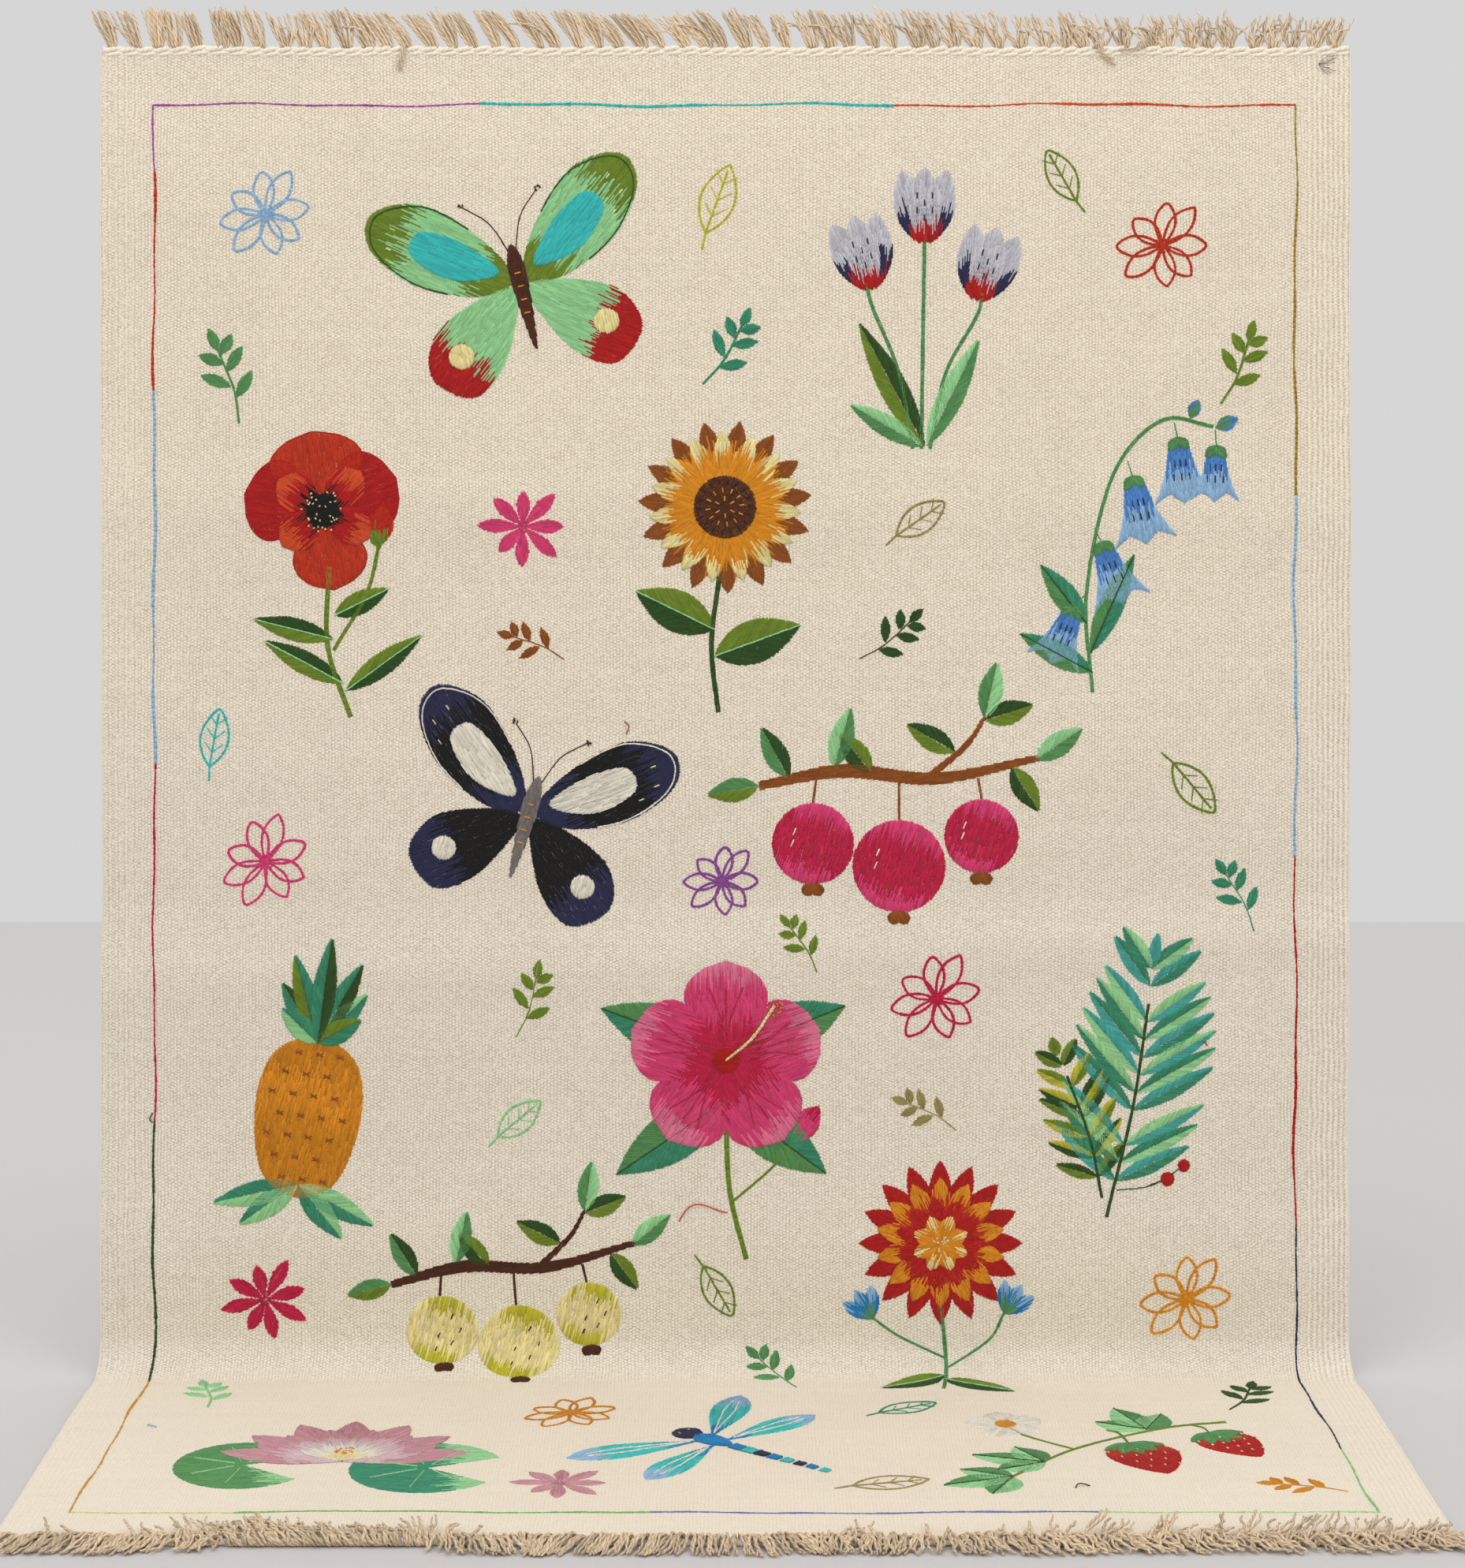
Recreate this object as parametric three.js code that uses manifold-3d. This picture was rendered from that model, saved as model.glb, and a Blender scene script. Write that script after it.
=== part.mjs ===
// A flat-woven wool rug hung by its top edge: it drops straight to the floor, turns forward in a soft bend,
// and lies on the floor for the rest of its length. A fringe of knotted warp ends grows from a twined edge
// at each end: it stands up over the top edge, and lies on the floor in front of the bottom one.
// Millimetres, +Z up. The face of the rug looks along -Y, and up where it lies on the floor.
// The origin is the middle of the cloth's top edge, on its back.
import * as THREE from 'three';
import { mergeVertices } from 'three/addons/utils/BufferGeometryUtils.js';
import Module from 'manifold-3d';

// Driving dimensions of the cloth
const RUG_WIDTH = 1600;
const RUG_LENGTH = 2300;
const CLOTH_THICKNESS = 4;
const HANG_HEIGHT = 1700;      // from the cloth's top edge down to the floor
const BEND_RADIUS = 52;        // of the cloth's back, where it turns from the wall to the floor
const CREASE_FADE = 60;        // over which creases die out below the top edge and above the bend

// Driving dimensions of the two ends
const EDGE_GAP = 0.3;          // between the cloth and the twined edge worked onto its warps
const TWINING_HEIGHT = 6;      // along the warps
const TWINING_THICKNESS = 5;
const LOCK_PITCH = 27;         // each lock gathers six or seven doubled warps and is built as two strands
const STRAND_RADIUS = 3.4;
const STRAND_TIP_SHARE = 0.55; // a tip's radius as a share of the root's
const STRAND_SIDES = 3;
const STRAND_STEPS = 3;
const ROOT_DEPTH = 3.5;        // how far a strand's root sits inside the twined edge
const ROOT_LIFT = 1;           // of a lying strand's root, above the floor
const ROOT_SPREAD = 9;         // between the two strands of a lock, at their roots
const TIP_SPREAD = 14;         // and at their tips
const CURL_STEPS = 6;
const CURL_RADIUS = 8;         // of the turn of a strand that comes up and back over the cloth
const CURL_CLEARANCE = 2;      // under its tip
const CURL_TURN_SHARE = 2 / 3; // of its length spent in the turn
const LEAN_POWER = 1.3;        // a strand leaves the edge straight and leans more towards its tip
const LEAN_JITTER = 1.5;       // how much neighbouring strands differ in lean
const LENGTH_JITTER = 3;       // and in length

// Stations along and across the cloth
const HANG_STEPS = 30;
const BEND_STEPS = 8;
const FLOOR_STEPS = 6;
const ACROSS_STEPS = 22;

const FLOOR_Z = -HANG_HEIGHT;
const BEND_LENGTH = BEND_RADIUS * Math.PI / 2;
const STRAIGHT_HANG = HANG_HEIGHT - BEND_RADIUS;
const FLAT_LENGTH = RUG_LENGTH - STRAIGHT_HANG - BEND_LENGTH;
const FRONT_Y = -(BEND_RADIUS + FLAT_LENGTH);

// The rug was folded in quarters for storage, and the creases still show as soft ridges and troughs.
// down: distance from the top edge at the middle; slope: rise towards the right side, mm per mm;
// out: how far the cloth stands off towards the viewer; spread: half-width of the crease.
const CREASES = [
  { down: 150, slope: 0.01, out: 2.0, spread: 90 },
  { down: 585, slope: -0.02, out: 3.0, spread: 45 },
  { down: 690, slope: 0.03, out: -2.0, spread: 80 },
  { down: 930, slope: 0.02, out: 2.4, spread: 100 },
  { down: 1090, slope: 0.01, out: -2.6, spread: 40 },
  { down: 1165, slope: 0.035, out: 4.0, spread: 34 },
  { down: 1390, slope: -0.015, out: -2.4, spread: 90 },
  { down: 1540, slope: 0.0, out: 4.5, spread: 70 },
];

// How far each side edge strays from a straight line. down: along the cloth; left, right: outwards.
const SIDE_EDGES = [
  { down: 0, left: 0, right: 0 },
  { down: 300, left: 1, right: -1 },
  { down: 660, left: -1, right: 1 },
  { down: 1000, left: -2, right: -2 },
  { down: 1350, left: 0, right: -3 },
  { down: 1640, left: 0, right: -3 },
  { down: 1800, left: 3, right: 2 },
  { down: 2300, left: 0, right: 0 },
];

// The fringe that stands over the top edge. across: from the middle; lean: how far a tip goes to the right;
// rise: a tip's height; back: how far it tips towards the wall.
const TOP_FRINGE = [
  { across: -800, lean: -17, rise: 46, back: 3 },
  { across: -700, lean: -8, rise: 48, back: 4 },
  { across: -560, lean: -12, rise: 47, back: 2 },
  { across: -420, lean: -26, rise: 43, back: 4 },
  { across: -250, lean: -27, rise: 45, back: 3 },
  { across: -60, lean: -30, rise: 42, back: 4 },
  { across: 80, lean: -17, rise: 46, back: 3 },
  { across: 240, lean: -21, rise: 47, back: 2 },
  { across: 400, lean: -13, rise: 45, back: 4 },
  { across: 560, lean: -4, rise: 43, back: 3 },
  { across: 700, lean: 5, rise: 41, back: 3 },
  { across: 800, lean: 20, rise: 38, back: 2 },
];

// The fringe on the floor. lean: how far a tip goes to the right; reach: how far it lies forward;
// curl: 0 where it all lies on the floor, 1 where half of it is turned up and back over the cloth.
const FLOOR_FRINGE = [
  { across: -800, lean: -30, reach: 36, curl: 0 },
  { across: -640, lean: -28, reach: 34, curl: 0 },
  { across: -560, lean: -14, reach: 32, curl: 0 },
  { across: -500, lean: -16, reach: 30, curl: 1 },
  { across: -350, lean: -16, reach: 30, curl: 1 },
  { across: -290, lean: 16, reach: 36, curl: 0 },
  { across: -225, lean: 12, reach: 38, curl: 0 },
  { across: -190, lean: -26, reach: 36, curl: 0 },
  { across: -70, lean: -20, reach: 38, curl: 0 },
  { across: 0, lean: 0, reach: 38, curl: 0 },
  { across: 70, lean: 24, reach: 36, curl: 0 },
  { across: 120, lean: 4, reach: 36, curl: 0 },
  { across: 190, lean: -10, reach: 38, curl: 0 },
  { across: 300, lean: 24, reach: 40, curl: 0 },
  { across: 420, lean: 28, reach: 38, curl: 0 },
  { across: 540, lean: 30, reach: 34, curl: 1 },
  { across: 670, lean: 32, reach: 34, curl: 1 },
  { across: 720, lean: 32, reach: 34, curl: 0 },
  { across: 800, lean: 30, reach: 32, curl: 0 },
];

const smooth = t => t * t * (3 - 2 * t);

// The value of one named column at a place in a table, eased from row to row.
function tableValue(rows, place, at, column) {
  const next = rows.findIndex(row => row[place] >= at);
  if (next === 0) return rows[0][column];
  if (next < 0) return rows[rows.length - 1][column];
  const [a, b] = [rows[next - 1], rows[next]];
  const share = smooth((at - a[place]) / (b[place] - a[place]));
  return a[column] + (b[column] - a[column]) * share;
}

// A repeatable number from -1 to 1 for each strand.
function jitter(index, salt) {
  const noise = Math.sin(index * 127.1 + salt * 311.7) * 43758.5453;
  return 2 * (noise - Math.floor(noise)) - 1;
}

// How far the hanging cloth stands off its plane, fading out at the top edge and above the bend.
function standOff(across, down) {
  const fadeIn = smooth(Math.min(1, down / CREASE_FADE));
  const fadeOut = smooth(Math.max(0, Math.min(1, (STRAIGHT_HANG - down) / CREASE_FADE)));
  return fadeIn * fadeOut * CREASES.reduce((sum, crease) => {
    const off = (down - crease.down + crease.slope * across) / crease.spread;
    return sum + crease.out * Math.exp(-off * off);
  }, 0);
}

// The point of the cloth at a distance across, down its length, and out from its back.
function clothPoint(across, down, out) {
  if (down <= STRAIGHT_HANG) {
    return new THREE.Vector3(across, -out - standOff(across, down), -down);
  }
  const turned = Math.min((down - STRAIGHT_HANG) / BEND_RADIUS, Math.PI / 2);
  const radius = BEND_RADIUS - out;
  const flat = Math.max(0, down - STRAIGHT_HANG - BEND_LENGTH);
  return new THREE.Vector3(
    across,
    -BEND_RADIUS + radius * Math.cos(turned) - flat,
    FLOOR_Z + BEND_RADIUS - radius * Math.sin(turned),
  );
}

// Where each row of points lies down the cloth: even on the wall and the floor, close together in the bend.
function stations() {
  const rows = [];
  for (let i = 0; i < HANG_STEPS; i++) rows.push(STRAIGHT_HANG * i / HANG_STEPS);
  for (let i = 0; i < BEND_STEPS; i++) rows.push(STRAIGHT_HANG + BEND_LENGTH * i / BEND_STEPS);
  for (let i = 0; i <= FLOOR_STEPS; i++) {
    rows.push(STRAIGHT_HANG + BEND_LENGTH + FLAT_LENGTH * i / FLOOR_STEPS);
  }
  return rows;
}

// A segmented slab, bent so that its length follows the cloth's.
function clothGeometry() {
  const rows = stations();
  const steps = rows.length - 1;
  const slab = new THREE.BoxGeometry(RUG_WIDTH, steps, 1, ACROSS_STEPS, steps, 1);
  const points = slab.getAttribute('position');
  for (let i = 0; i < points.count; i++) {
    const row = Math.round(steps / 2 - points.getY(i));
    const down = rows[row];
    const side = points.getX(i) / (RUG_WIDTH / 2);
    const stray = side < 0 ? -tableValue(SIDE_EDGES, 'down', down, 'left')
      : tableValue(SIDE_EDGES, 'down', down, 'right');
    const across = side * RUG_WIDTH / 2 + stray * side * side;
    const out = points.getZ(i) > 0 ? CLOTH_THICKNESS : 0;
    const p = clothPoint(across, down, out);
    points.setXYZ(i, p.x, p.y, p.z);
  }
  return slab;
}

// A strand of three-sided section along a path, tapering to its tip, with one edge towards up.
// The path gives the strand's axis at a share of its length, where one flat side lies sink below the axis.
function strandGeometry(path, up, steps) {
  const strand = new THREE.CylinderGeometry(STRAND_RADIUS, STRAND_RADIUS, 1, STRAND_SIDES, steps);
  const points = strand.getAttribute('position');
  for (let i = 0; i < points.count; i++) {
    const along = points.getY(i) + 0.5;
    const taper = 1 - (1 - STRAND_TIP_SHARE) * along;
    const sink = STRAND_RADIUS * taper / 2;
    const centre = path(along, sink);
    const ahead = path(Math.min(1, along + 0.01), sink);
    const behind = path(Math.max(0, along - 0.01), sink);
    const forward = ahead.sub(behind).normalize();
    const side = new THREE.Vector3().crossVectors(forward, up).normalize();
    const rise = new THREE.Vector3().crossVectors(side, forward).normalize();
    centre.addScaledVector(side, points.getX(i) * taper);
    centre.addScaledVector(rise, points.getZ(i) * taper);
    points.setXYZ(i, centre.x, centre.y, centre.z);
  }
  return strand;
}

// How far to the right of its lock's middle a strand has come. side is -1 or 1 within the lock.
const strandDrift = (along, lean, side) => (
  side * (ROOT_SPREAD + (TIP_SPREAD - ROOT_SPREAD) * along) / 2 + lean * along ** LEAN_POWER
);

// One strand of the fringe over the top edge, which leaves the edge upright and then leans.
function topStrand(root, side, index) {
  const lean = tableValue(TOP_FRINGE, 'across', root, 'lean') + LEAN_JITTER * jitter(index, 1);
  const rise = tableValue(TOP_FRINGE, 'across', root, 'rise') + LENGTH_JITTER * jitter(index, 2);
  const back = tableValue(TOP_FRINGE, 'across', root, 'back');
  const start = EDGE_GAP + TWINING_HEIGHT - ROOT_DEPTH;
  const path = along => new THREE.Vector3(
    root + strandDrift(along, lean, side),
    -TWINING_THICKNESS / 2 + back * along * along,
    start + (rise + ROOT_DEPTH) * along,
  );
  return strandGeometry(path, new THREE.Vector3(0, -1, 0), STRAND_STEPS);
}

// One strand of the fringe on the floor. It rests level on the floor, or turns up and back over the cloth.
function floorStrand(root, side, index) {
  const lean = tableValue(FLOOR_FRINGE, 'across', root, 'lean') + LEAN_JITTER * jitter(index, 3);
  const reach = tableValue(FLOOR_FRINGE, 'across', root, 'reach') + LENGTH_JITTER * jitter(index, 4);
  const curled = side > 0 && tableValue(FLOOR_FRINGE, 'across', root, 'curl') > 0.5;
  const start = FRONT_Y - EDGE_GAP - TWINING_HEIGHT + ROOT_DEPTH;
  const tipHeight = CLOTH_THICKNESS + CURL_CLEARANCE + STRAND_RADIUS;
  const curledPath = along => {
    const angle = Math.PI * Math.min(1, along / CURL_TURN_SHARE);
    const back = Math.max(0, (along - CURL_TURN_SHARE) / (1 - CURL_TURN_SHARE));
    const turned = STRAND_RADIUS + CURL_RADIUS * (1 - Math.cos(angle));
    return new THREE.Vector3(
      root + strandDrift(along, lean, side),
      start - CURL_RADIUS * Math.sin(angle) + back * (reach - CURL_RADIUS),
      FLOOR_Z + turned + back * (tipHeight - turned),
    );
  };
  const lyingPath = (along, sink) => new THREE.Vector3(
    root + strandDrift(along, lean, side),
    start - (reach + ROOT_DEPTH) * along,
    FLOOR_Z + sink + (along === 0 ? ROOT_LIFT : 0),
  );
  return curled ? strandGeometry(curledPath, new THREE.Vector3(1, 0, 0), CURL_STEPS)
    : strandGeometry(lyingPath, new THREE.Vector3(0, 0, 1), STRAND_STEPS);
}

const wasm = await Module();
wasm.setup();

// A closed geometry as a solid that can be joined to others.
function solidOf(geometry) {
  const bare = geometry.clone();
  bare.deleteAttribute('normal');
  bare.deleteAttribute('uv');
  const merged = mergeVertices(bare, 1e-4);
  return new wasm.Manifold(new wasm.Mesh({
    numProp: 3,
    vertProperties: merged.getAttribute('position').array,
    triVerts: new Uint32Array(merged.index.array),
  }));
}

function geometryOf(solid) {
  const mesh = solid.getMesh();
  const geometry = new THREE.BufferGeometry();
  geometry.setAttribute('position', new THREE.BufferAttribute(mesh.vertProperties, 3));
  geometry.setIndex(new THREE.BufferAttribute(mesh.triVerts, 1));
  geometry.computeVertexNormals();
  return geometry;
}

// A twined edge with the strands of its fringe grown from it, two to a lock.
function fringeGeometry(edge, strandOf) {
  const locks = Math.floor(RUG_WIDTH / LOCK_PITCH);
  let fringe = solidOf(edge);
  for (let lock = 0; lock < locks; lock++) {
    const root = (lock - (locks - 1) / 2) * LOCK_PITCH;
    for (const side of [-1, 1]) {
      fringe = fringe.add(solidOf(strandOf(root, side, lock * 2 + side)));
    }
  }
  return geometryOf(fringe);
}

function topEdgeGeometry() {
  const edge = new THREE.BoxGeometry(RUG_WIDTH, TWINING_THICKNESS, TWINING_HEIGHT);
  return edge.translate(0, -TWINING_THICKNESS / 2, EDGE_GAP + TWINING_HEIGHT / 2);
}

function floorEdgeGeometry() {
  const edge = new THREE.BoxGeometry(RUG_WIDTH, TWINING_HEIGHT, TWINING_THICKNESS);
  return edge.translate(0, FRONT_Y - EDGE_GAP - TWINING_HEIGHT / 2, FLOOR_Z + TWINING_THICKNESS / 2);
}

const naturalWool = new THREE.MeshStandardMaterial({ color: 0xdccfb6, roughness: 0.95, metalness: 0 });
const warpYarn = new THREE.MeshStandardMaterial({ color: 0xbfa98c, roughness: 0.95, metalness: 0 });

function part(name, geometry, material) {
  const mesh = new THREE.Mesh(geometry, material);
  mesh.name = name;
  return mesh;
}

const rug = new THREE.Group();
rug.add(part('cloth', clothGeometry(), naturalWool));
rug.add(part('top_fringe', fringeGeometry(topEdgeGeometry(), topStrand), warpYarn));
rug.add(part('floor_fringe', fringeGeometry(floorEdgeGeometry(), floorStrand), warpYarn));

export default rug;
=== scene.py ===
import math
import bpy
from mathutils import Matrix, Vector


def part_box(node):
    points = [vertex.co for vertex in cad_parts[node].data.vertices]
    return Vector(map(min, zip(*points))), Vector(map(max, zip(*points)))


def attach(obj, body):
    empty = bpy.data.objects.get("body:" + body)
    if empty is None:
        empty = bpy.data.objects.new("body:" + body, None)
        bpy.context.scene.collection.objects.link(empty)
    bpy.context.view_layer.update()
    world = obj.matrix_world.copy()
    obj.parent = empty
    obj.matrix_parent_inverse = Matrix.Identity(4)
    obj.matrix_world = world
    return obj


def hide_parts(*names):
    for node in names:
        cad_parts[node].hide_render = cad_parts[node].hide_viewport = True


bl_info = {
    "name": "Fringed flat-woven rug",
    "version": (1, 0, 0),
    "blender": (4, 5, 0),
    "location": "View3D > Sidebar > Rug",
    "description": "Weaves, fringes and embroiders a wool rug that hangs and turns forward over the floor",
    "category": "Object",
}

import bmesh
import bpy
import numpy as np
from bpy.props import FloatProperty, FloatVectorProperty, IntProperty, PointerProperty
from mathutils import Vector

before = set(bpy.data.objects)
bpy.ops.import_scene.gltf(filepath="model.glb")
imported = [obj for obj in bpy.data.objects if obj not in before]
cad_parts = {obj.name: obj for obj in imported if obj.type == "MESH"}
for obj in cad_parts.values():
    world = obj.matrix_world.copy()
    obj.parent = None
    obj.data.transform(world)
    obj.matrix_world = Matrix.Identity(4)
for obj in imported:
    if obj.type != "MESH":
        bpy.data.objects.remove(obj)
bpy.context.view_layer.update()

# Sizes are in millimetres up to the point where a mesh is made
MM = 0.001
FLOOR_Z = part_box("cloth")[0][2]
HANG_HEIGHT = -FLOOR_Z / MM
RUG_WIDTH = 1600.0
RUG_LENGTH = 2300.0
CLOTH_THICKNESS = 4.0
BEND_RADIUS = 52.0
STRAIGHT_HANG = HANG_HEIGHT - BEND_RADIUS
BEND_LENGTH = BEND_RADIUS * math.pi / 2


def table(heading, *rows):
    """Rows of a table, each as a dictionary by the names in its heading."""
    return [dict(zip(heading.split(), row)) for row in rows]


# Soft creases left by folding in quarters. down: from the top edge; slope: rise to the right, mm per mm;
# out: how far the cloth stands off towards the viewer; spread: half-width of the crease
CREASES = table(
    "down slope out spread",
    (150, 0.01, 2.0, 90), (585, -0.02, 3.0, 45), (690, 0.03, -2.0, 80), (930, 0.02, 2.4, 100),
    (1090, 0.01, -2.6, 40), (1165, 0.035, 4.0, 34), (1390, -0.015, -2.4, 90), (1540, 0.0, 4.5, 70),
)

# How far each side edge strays outwards. down: along the cloth
SIDE_EDGES = table(
    "down left right",
    (0, 0, 0), (300, 1, -1), (660, -1, 1), (1000, -2, -2), (1350, 0, -3), (1640, 0, -3), (1800, 3, 2),
    (2300, 0, 0),
)

# The fringe over the top edge. across: from the middle; lean: how far tips go to the right; rise: their
# height; back: how far they tip towards the wall; mess: how unruly the threads are, from 0 to 1
TOP_FRINGE = table(
    "across lean rise back mess",
    (-800, -17, 47, 3, 0.35), (-700, -8, 48, 4, 0.1), (-560, -12, 47, 2, 0.3), (-420, -24, 44, 4, 0.1),
    (-250, -27, 45, 3, 0.1), (-60, -30, 43, 4, 0.15), (80, -17, 46, 3, 0.25), (240, -21, 47, 2, 0.45),
    (400, -13, 45, 4, 0.65), (560, -4, 43, 3, 0.8), (700, 5, 41, 3, 1.0), (800, 20, 38, 2, 0.7),
)

# The fringe on the floor. lean: how far tips go to the right; reach: how far they lie forward;
# back: the share of threads turned up and back over the cloth; mess: how unruly the threads are
FLOOR_FRINGE = table(
    "across lean reach back mess",
    (-800, -30, 34, 0.05, 0.5), (-640, -28, 34, 0.1, 0.4), (-570, -20, 32, 0.3, 0.6),
    (-535, -30, 24, 1.0, 1.0), (-400, -30, 24, 1.0, 0.9), (-340, -12, 24, 1.0, 0.7),
    (-300, 16, 36, 0.1, 0.6), (-225, 12, 36, 0.0, 0.3), (-190, -26, 38, 0.0, 0.15),
    (-70, -20, 39, 0.0, 0.2), (0, 0, 39, 0.0, 0.25), (70, 24, 36, 0.0, 0.3), (120, 4, 36, 0.2, 0.8),
    (190, -10, 38, 0.1, 0.7), (300, 24, 39, 0.15, 0.8), (420, 30, 36, 0.3, 0.7), (560, 30, 34, 0.4, 1.0),
    (660, 34, 33, 0.45, 1.0), (800, 40, 30, 0.25, 0.6),
)

# Bunches of the top fringe that fall forward over the cloth. sideways: how far tips go to the right;
# drop: how far down the cloth they reach
FALLEN_BUNCHES = table(
    "across sideways drop threads",
    (-412, -4, 27, 3), (474, 22, 18, 4), (536, -30, 4, 3),
)

# Wool dyes, as they look in daylight
DYES = {
    "olive": (118, 142, 44), "forest": (52, 84, 34), "leaf": (94, 152, 92), "mint": (158, 214, 154),
    "teal": (64, 146, 112), "sea": (79, 173, 163), "turquoise": (66, 196, 192), "sky": (152, 189, 220),
    "blue": (84, 140, 204), "cobalt": (38, 132, 192), "iris": (118, 126, 184), "navy": (48, 50, 82),
    "lilac": (200, 198, 204), "plum": (150, 84, 158), "orchid": (178, 92, 168), "rose": (206, 150, 158),
    "blush": (220, 190, 194), "pink": (222, 70, 122), "crimson": (200, 36, 76), "red": (184, 31, 30),
    "scarlet": (196, 58, 32), "orange": (226, 150, 34), "ochre": (210, 138, 28),
    "butter": (238, 224, 162), "lime": (198, 192, 56), "twig": (164, 150, 93), "brown": (150, 84, 32),
    "bark": (84, 46, 30), "black": (30, 29, 28), "white": (236, 229, 214), "pewter": (128, 121, 116),
    "flame": (216, 84, 44), "mustard": (166, 140, 52), "fresh": (128, 186, 108), "gold": (214, 164, 58),
    "candy": (230, 122, 156), "primrose": (216, 214, 140), "pistachio": (186, 218, 164),
}

# The stitched border line, side by side. begin and end: across for the top and bottom, down for the sides
BORDER_LEFT, BORDER_RIGHT = -733, 730
BORDER_TOP, BORDER_BOTTOM = 70, 2211
BORDER_LINE = table(
    "side begin end dye",
    ("top", -733, -315, "orchid"), ("top", -315, 215, "turquoise"), ("top", 215, 730, "flame"),
    ("left", 70, 155, "orchid"), ("left", 155, 436, "scarlet"), ("left", 436, 914, "sky"),
    ("left", 914, 1374, "crimson"), ("left", 1374, 1722, "forest"), ("left", 1722, 2211, "gold"),
    ("right", 70, 570, "mustard"), ("right", 570, 1033, "sky"), ("right", 1033, 1506, "red"),
    ("right", 1506, 1991, "navy"), ("right", 1991, 2211, "mint"), ("bottom", -733, -549, "primrose"),
    ("bottom", -549, -84, "fresh"), ("bottom", -84, 417, "iris"), ("bottom", 417, 730, "pistachio"),
)

# The large motifs. turn: degrees, anticlockwise; dyes: in the order that the motif's function takes them
LARGE_MOTIFS = table(
    "motif across down turn size dyes",
    ("butterfly", -262, 305, 14, 1.45, ("mint", "olive", "red", "turquoise", "butter", "forest", "bark")),
    ("tulips", 250, 330, 0, 1.2, ("lilac", "navy", "red")),
    ("poppy", -515, 650, 6, 1.25, ("scarlet", "red", "olive")),
    ("sunflower", -5, 640, -4, 1.22, ("orange", "ochre", "forest")),
    ("bellflower", 520, 622, 0, 1.25, ("blue", "sky", "leaf")),
    ("butterfly", -255, 985, -16, 1.4, ("black", "navy", "navy", "white", "white", "white", "pewter")),
    ("fruit_branch", 222, 1000, 0, 1.2, ("crimson", "pink", "brown")),
    ("pineapple", -530, 1318, -8, 1.22, ("ochre", "teal", "mint")),
    ("hibiscus", 0, 1320, 0, 1.3, ("pink", "crimson", "teal")),
    ("fern", 515, 1300, -8, 1.15, ("sea", "teal", "mint")),
    ("fruit_branch", -268, 1620, 4, 1.05, ("butter", "lime", "bark")),
    ("dahlia", 275, 1585, 0, 1.1, ("red", "orange", "cobalt")),
    ("water_lily", -450, 1985, 0, 1.45, ("rose", "blush", "leaf")),
    ("dragonfly", 10, 1980, 50, 1.4, ("turquoise", "sky", "cobalt")),
    ("strawberries", 455, 1980, 10, 1.4, ("red", "leaf", "mint")),
)

# The small motifs that fill the ground between them
SMALL_MOTIFS = table(
    "motif across down turn size dye",
    ("outline_flower", -590, 210, 10, 1.1, "sky"), ("sprig", -640, 415, 20, 1.1, "leaf"),
    ("outline_leaf", -10, 190, 70, 1.1, "lime"), ("sprig", 5, 380, -30, 1.0, "teal"),
    ("outline_flower", 560, 250, 0, 1.1, "scarlet"), ("outline_leaf", 430, 160, 120, 0.9, "olive"),
    ("sprig", 660, 400, -20, 1.0, "olive"), ("star_flower", -260, 610, 0, 1.1, "pink"),
    ("outline_leaf", 250, 600, 35, 0.9, "twig"), ("sprig", -250, 760, 70, 0.8, "brown"),
    ("sprig", 215, 750, -50, 0.9, "forest"), ("outline_leaf", -655, 880, 80, 0.9, "turquoise"),
    ("outline_flower", -590, 1040, 25, 1.1, "pink"), ("sprig", 95, 1142, 35, 0.75, "olive"),
    ("outline_flower", -5, 1065, 0, 0.9, "plum"), ("outline_leaf", 600, 945, -50, 1.0, "olive"),
    ("sprig", 655, 1080, 30, 0.9, "teal"), ("sprig", -250, 1215, -15, 0.9, "olive"),
    ("outline_leaf", -265, 1370, 40, 0.85, "mint"), ("outline_flower", 270, 1215, 12, 1.1, "crimson"),
    ("sprig", 255, 1360, 65, 0.8, "twig"), ("star_flower", -590, 1600, 15, 1.1, "crimson"),
    ("outline_leaf", -10, 1590, -60, 0.9, "olive"), ("sprig", 60, 1700, 40, 0.9, "leaf"),
    ("outline_flower", 590, 1600, 5, 1.1, "orange"), ("sprig", -650, 1770, 15, 1.0, "mint"),
    ("outline_flower", -190, 1850, 20, 1.1, "ochre"), ("outline_leaf", 225, 1830, 30, 1.0, "teal"),
    ("sprig", 650, 1780, -20, 1.1, "forest"), ("outline_leaf", 190, 2110, 15, 1.1, "twig"),
    ("star_flower", -190, 2110, 0, 1.1, "rose"), ("sprig", 660, 2120, 75, 0.9, "ochre"),
)

# Yarn ends that were never trimmed. across, down: where one comes out; turn: which way it runs
LOOSE_ENDS = table(
    "across down turn long dye",
    (-60, 1500, 20, 62, "scarlet"), (-130, 860, -70, 16, "brown"), (400, 2130, 30, 18, "forest"),
    (-735, 1374, 100, 12, "forest"), (610, 1270, -30, 9, "brown"), (-690, 1905, 160, 14, "sky"),
)


def linear(rgb):
    """A colour of 0 to 255 as the eye sees it, as the light it gives back."""
    share = np.asarray(rgb, dtype=float) / 255
    return np.where(share <= 0.04045, share / 12.92, ((share + 0.055) / 1.055) ** 2.4)


def smooth(share):
    """A share from 0 to 1, eased at both ends."""
    share = np.clip(share, 0, 1)
    return share * share * (3 - 2 * share)


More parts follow.
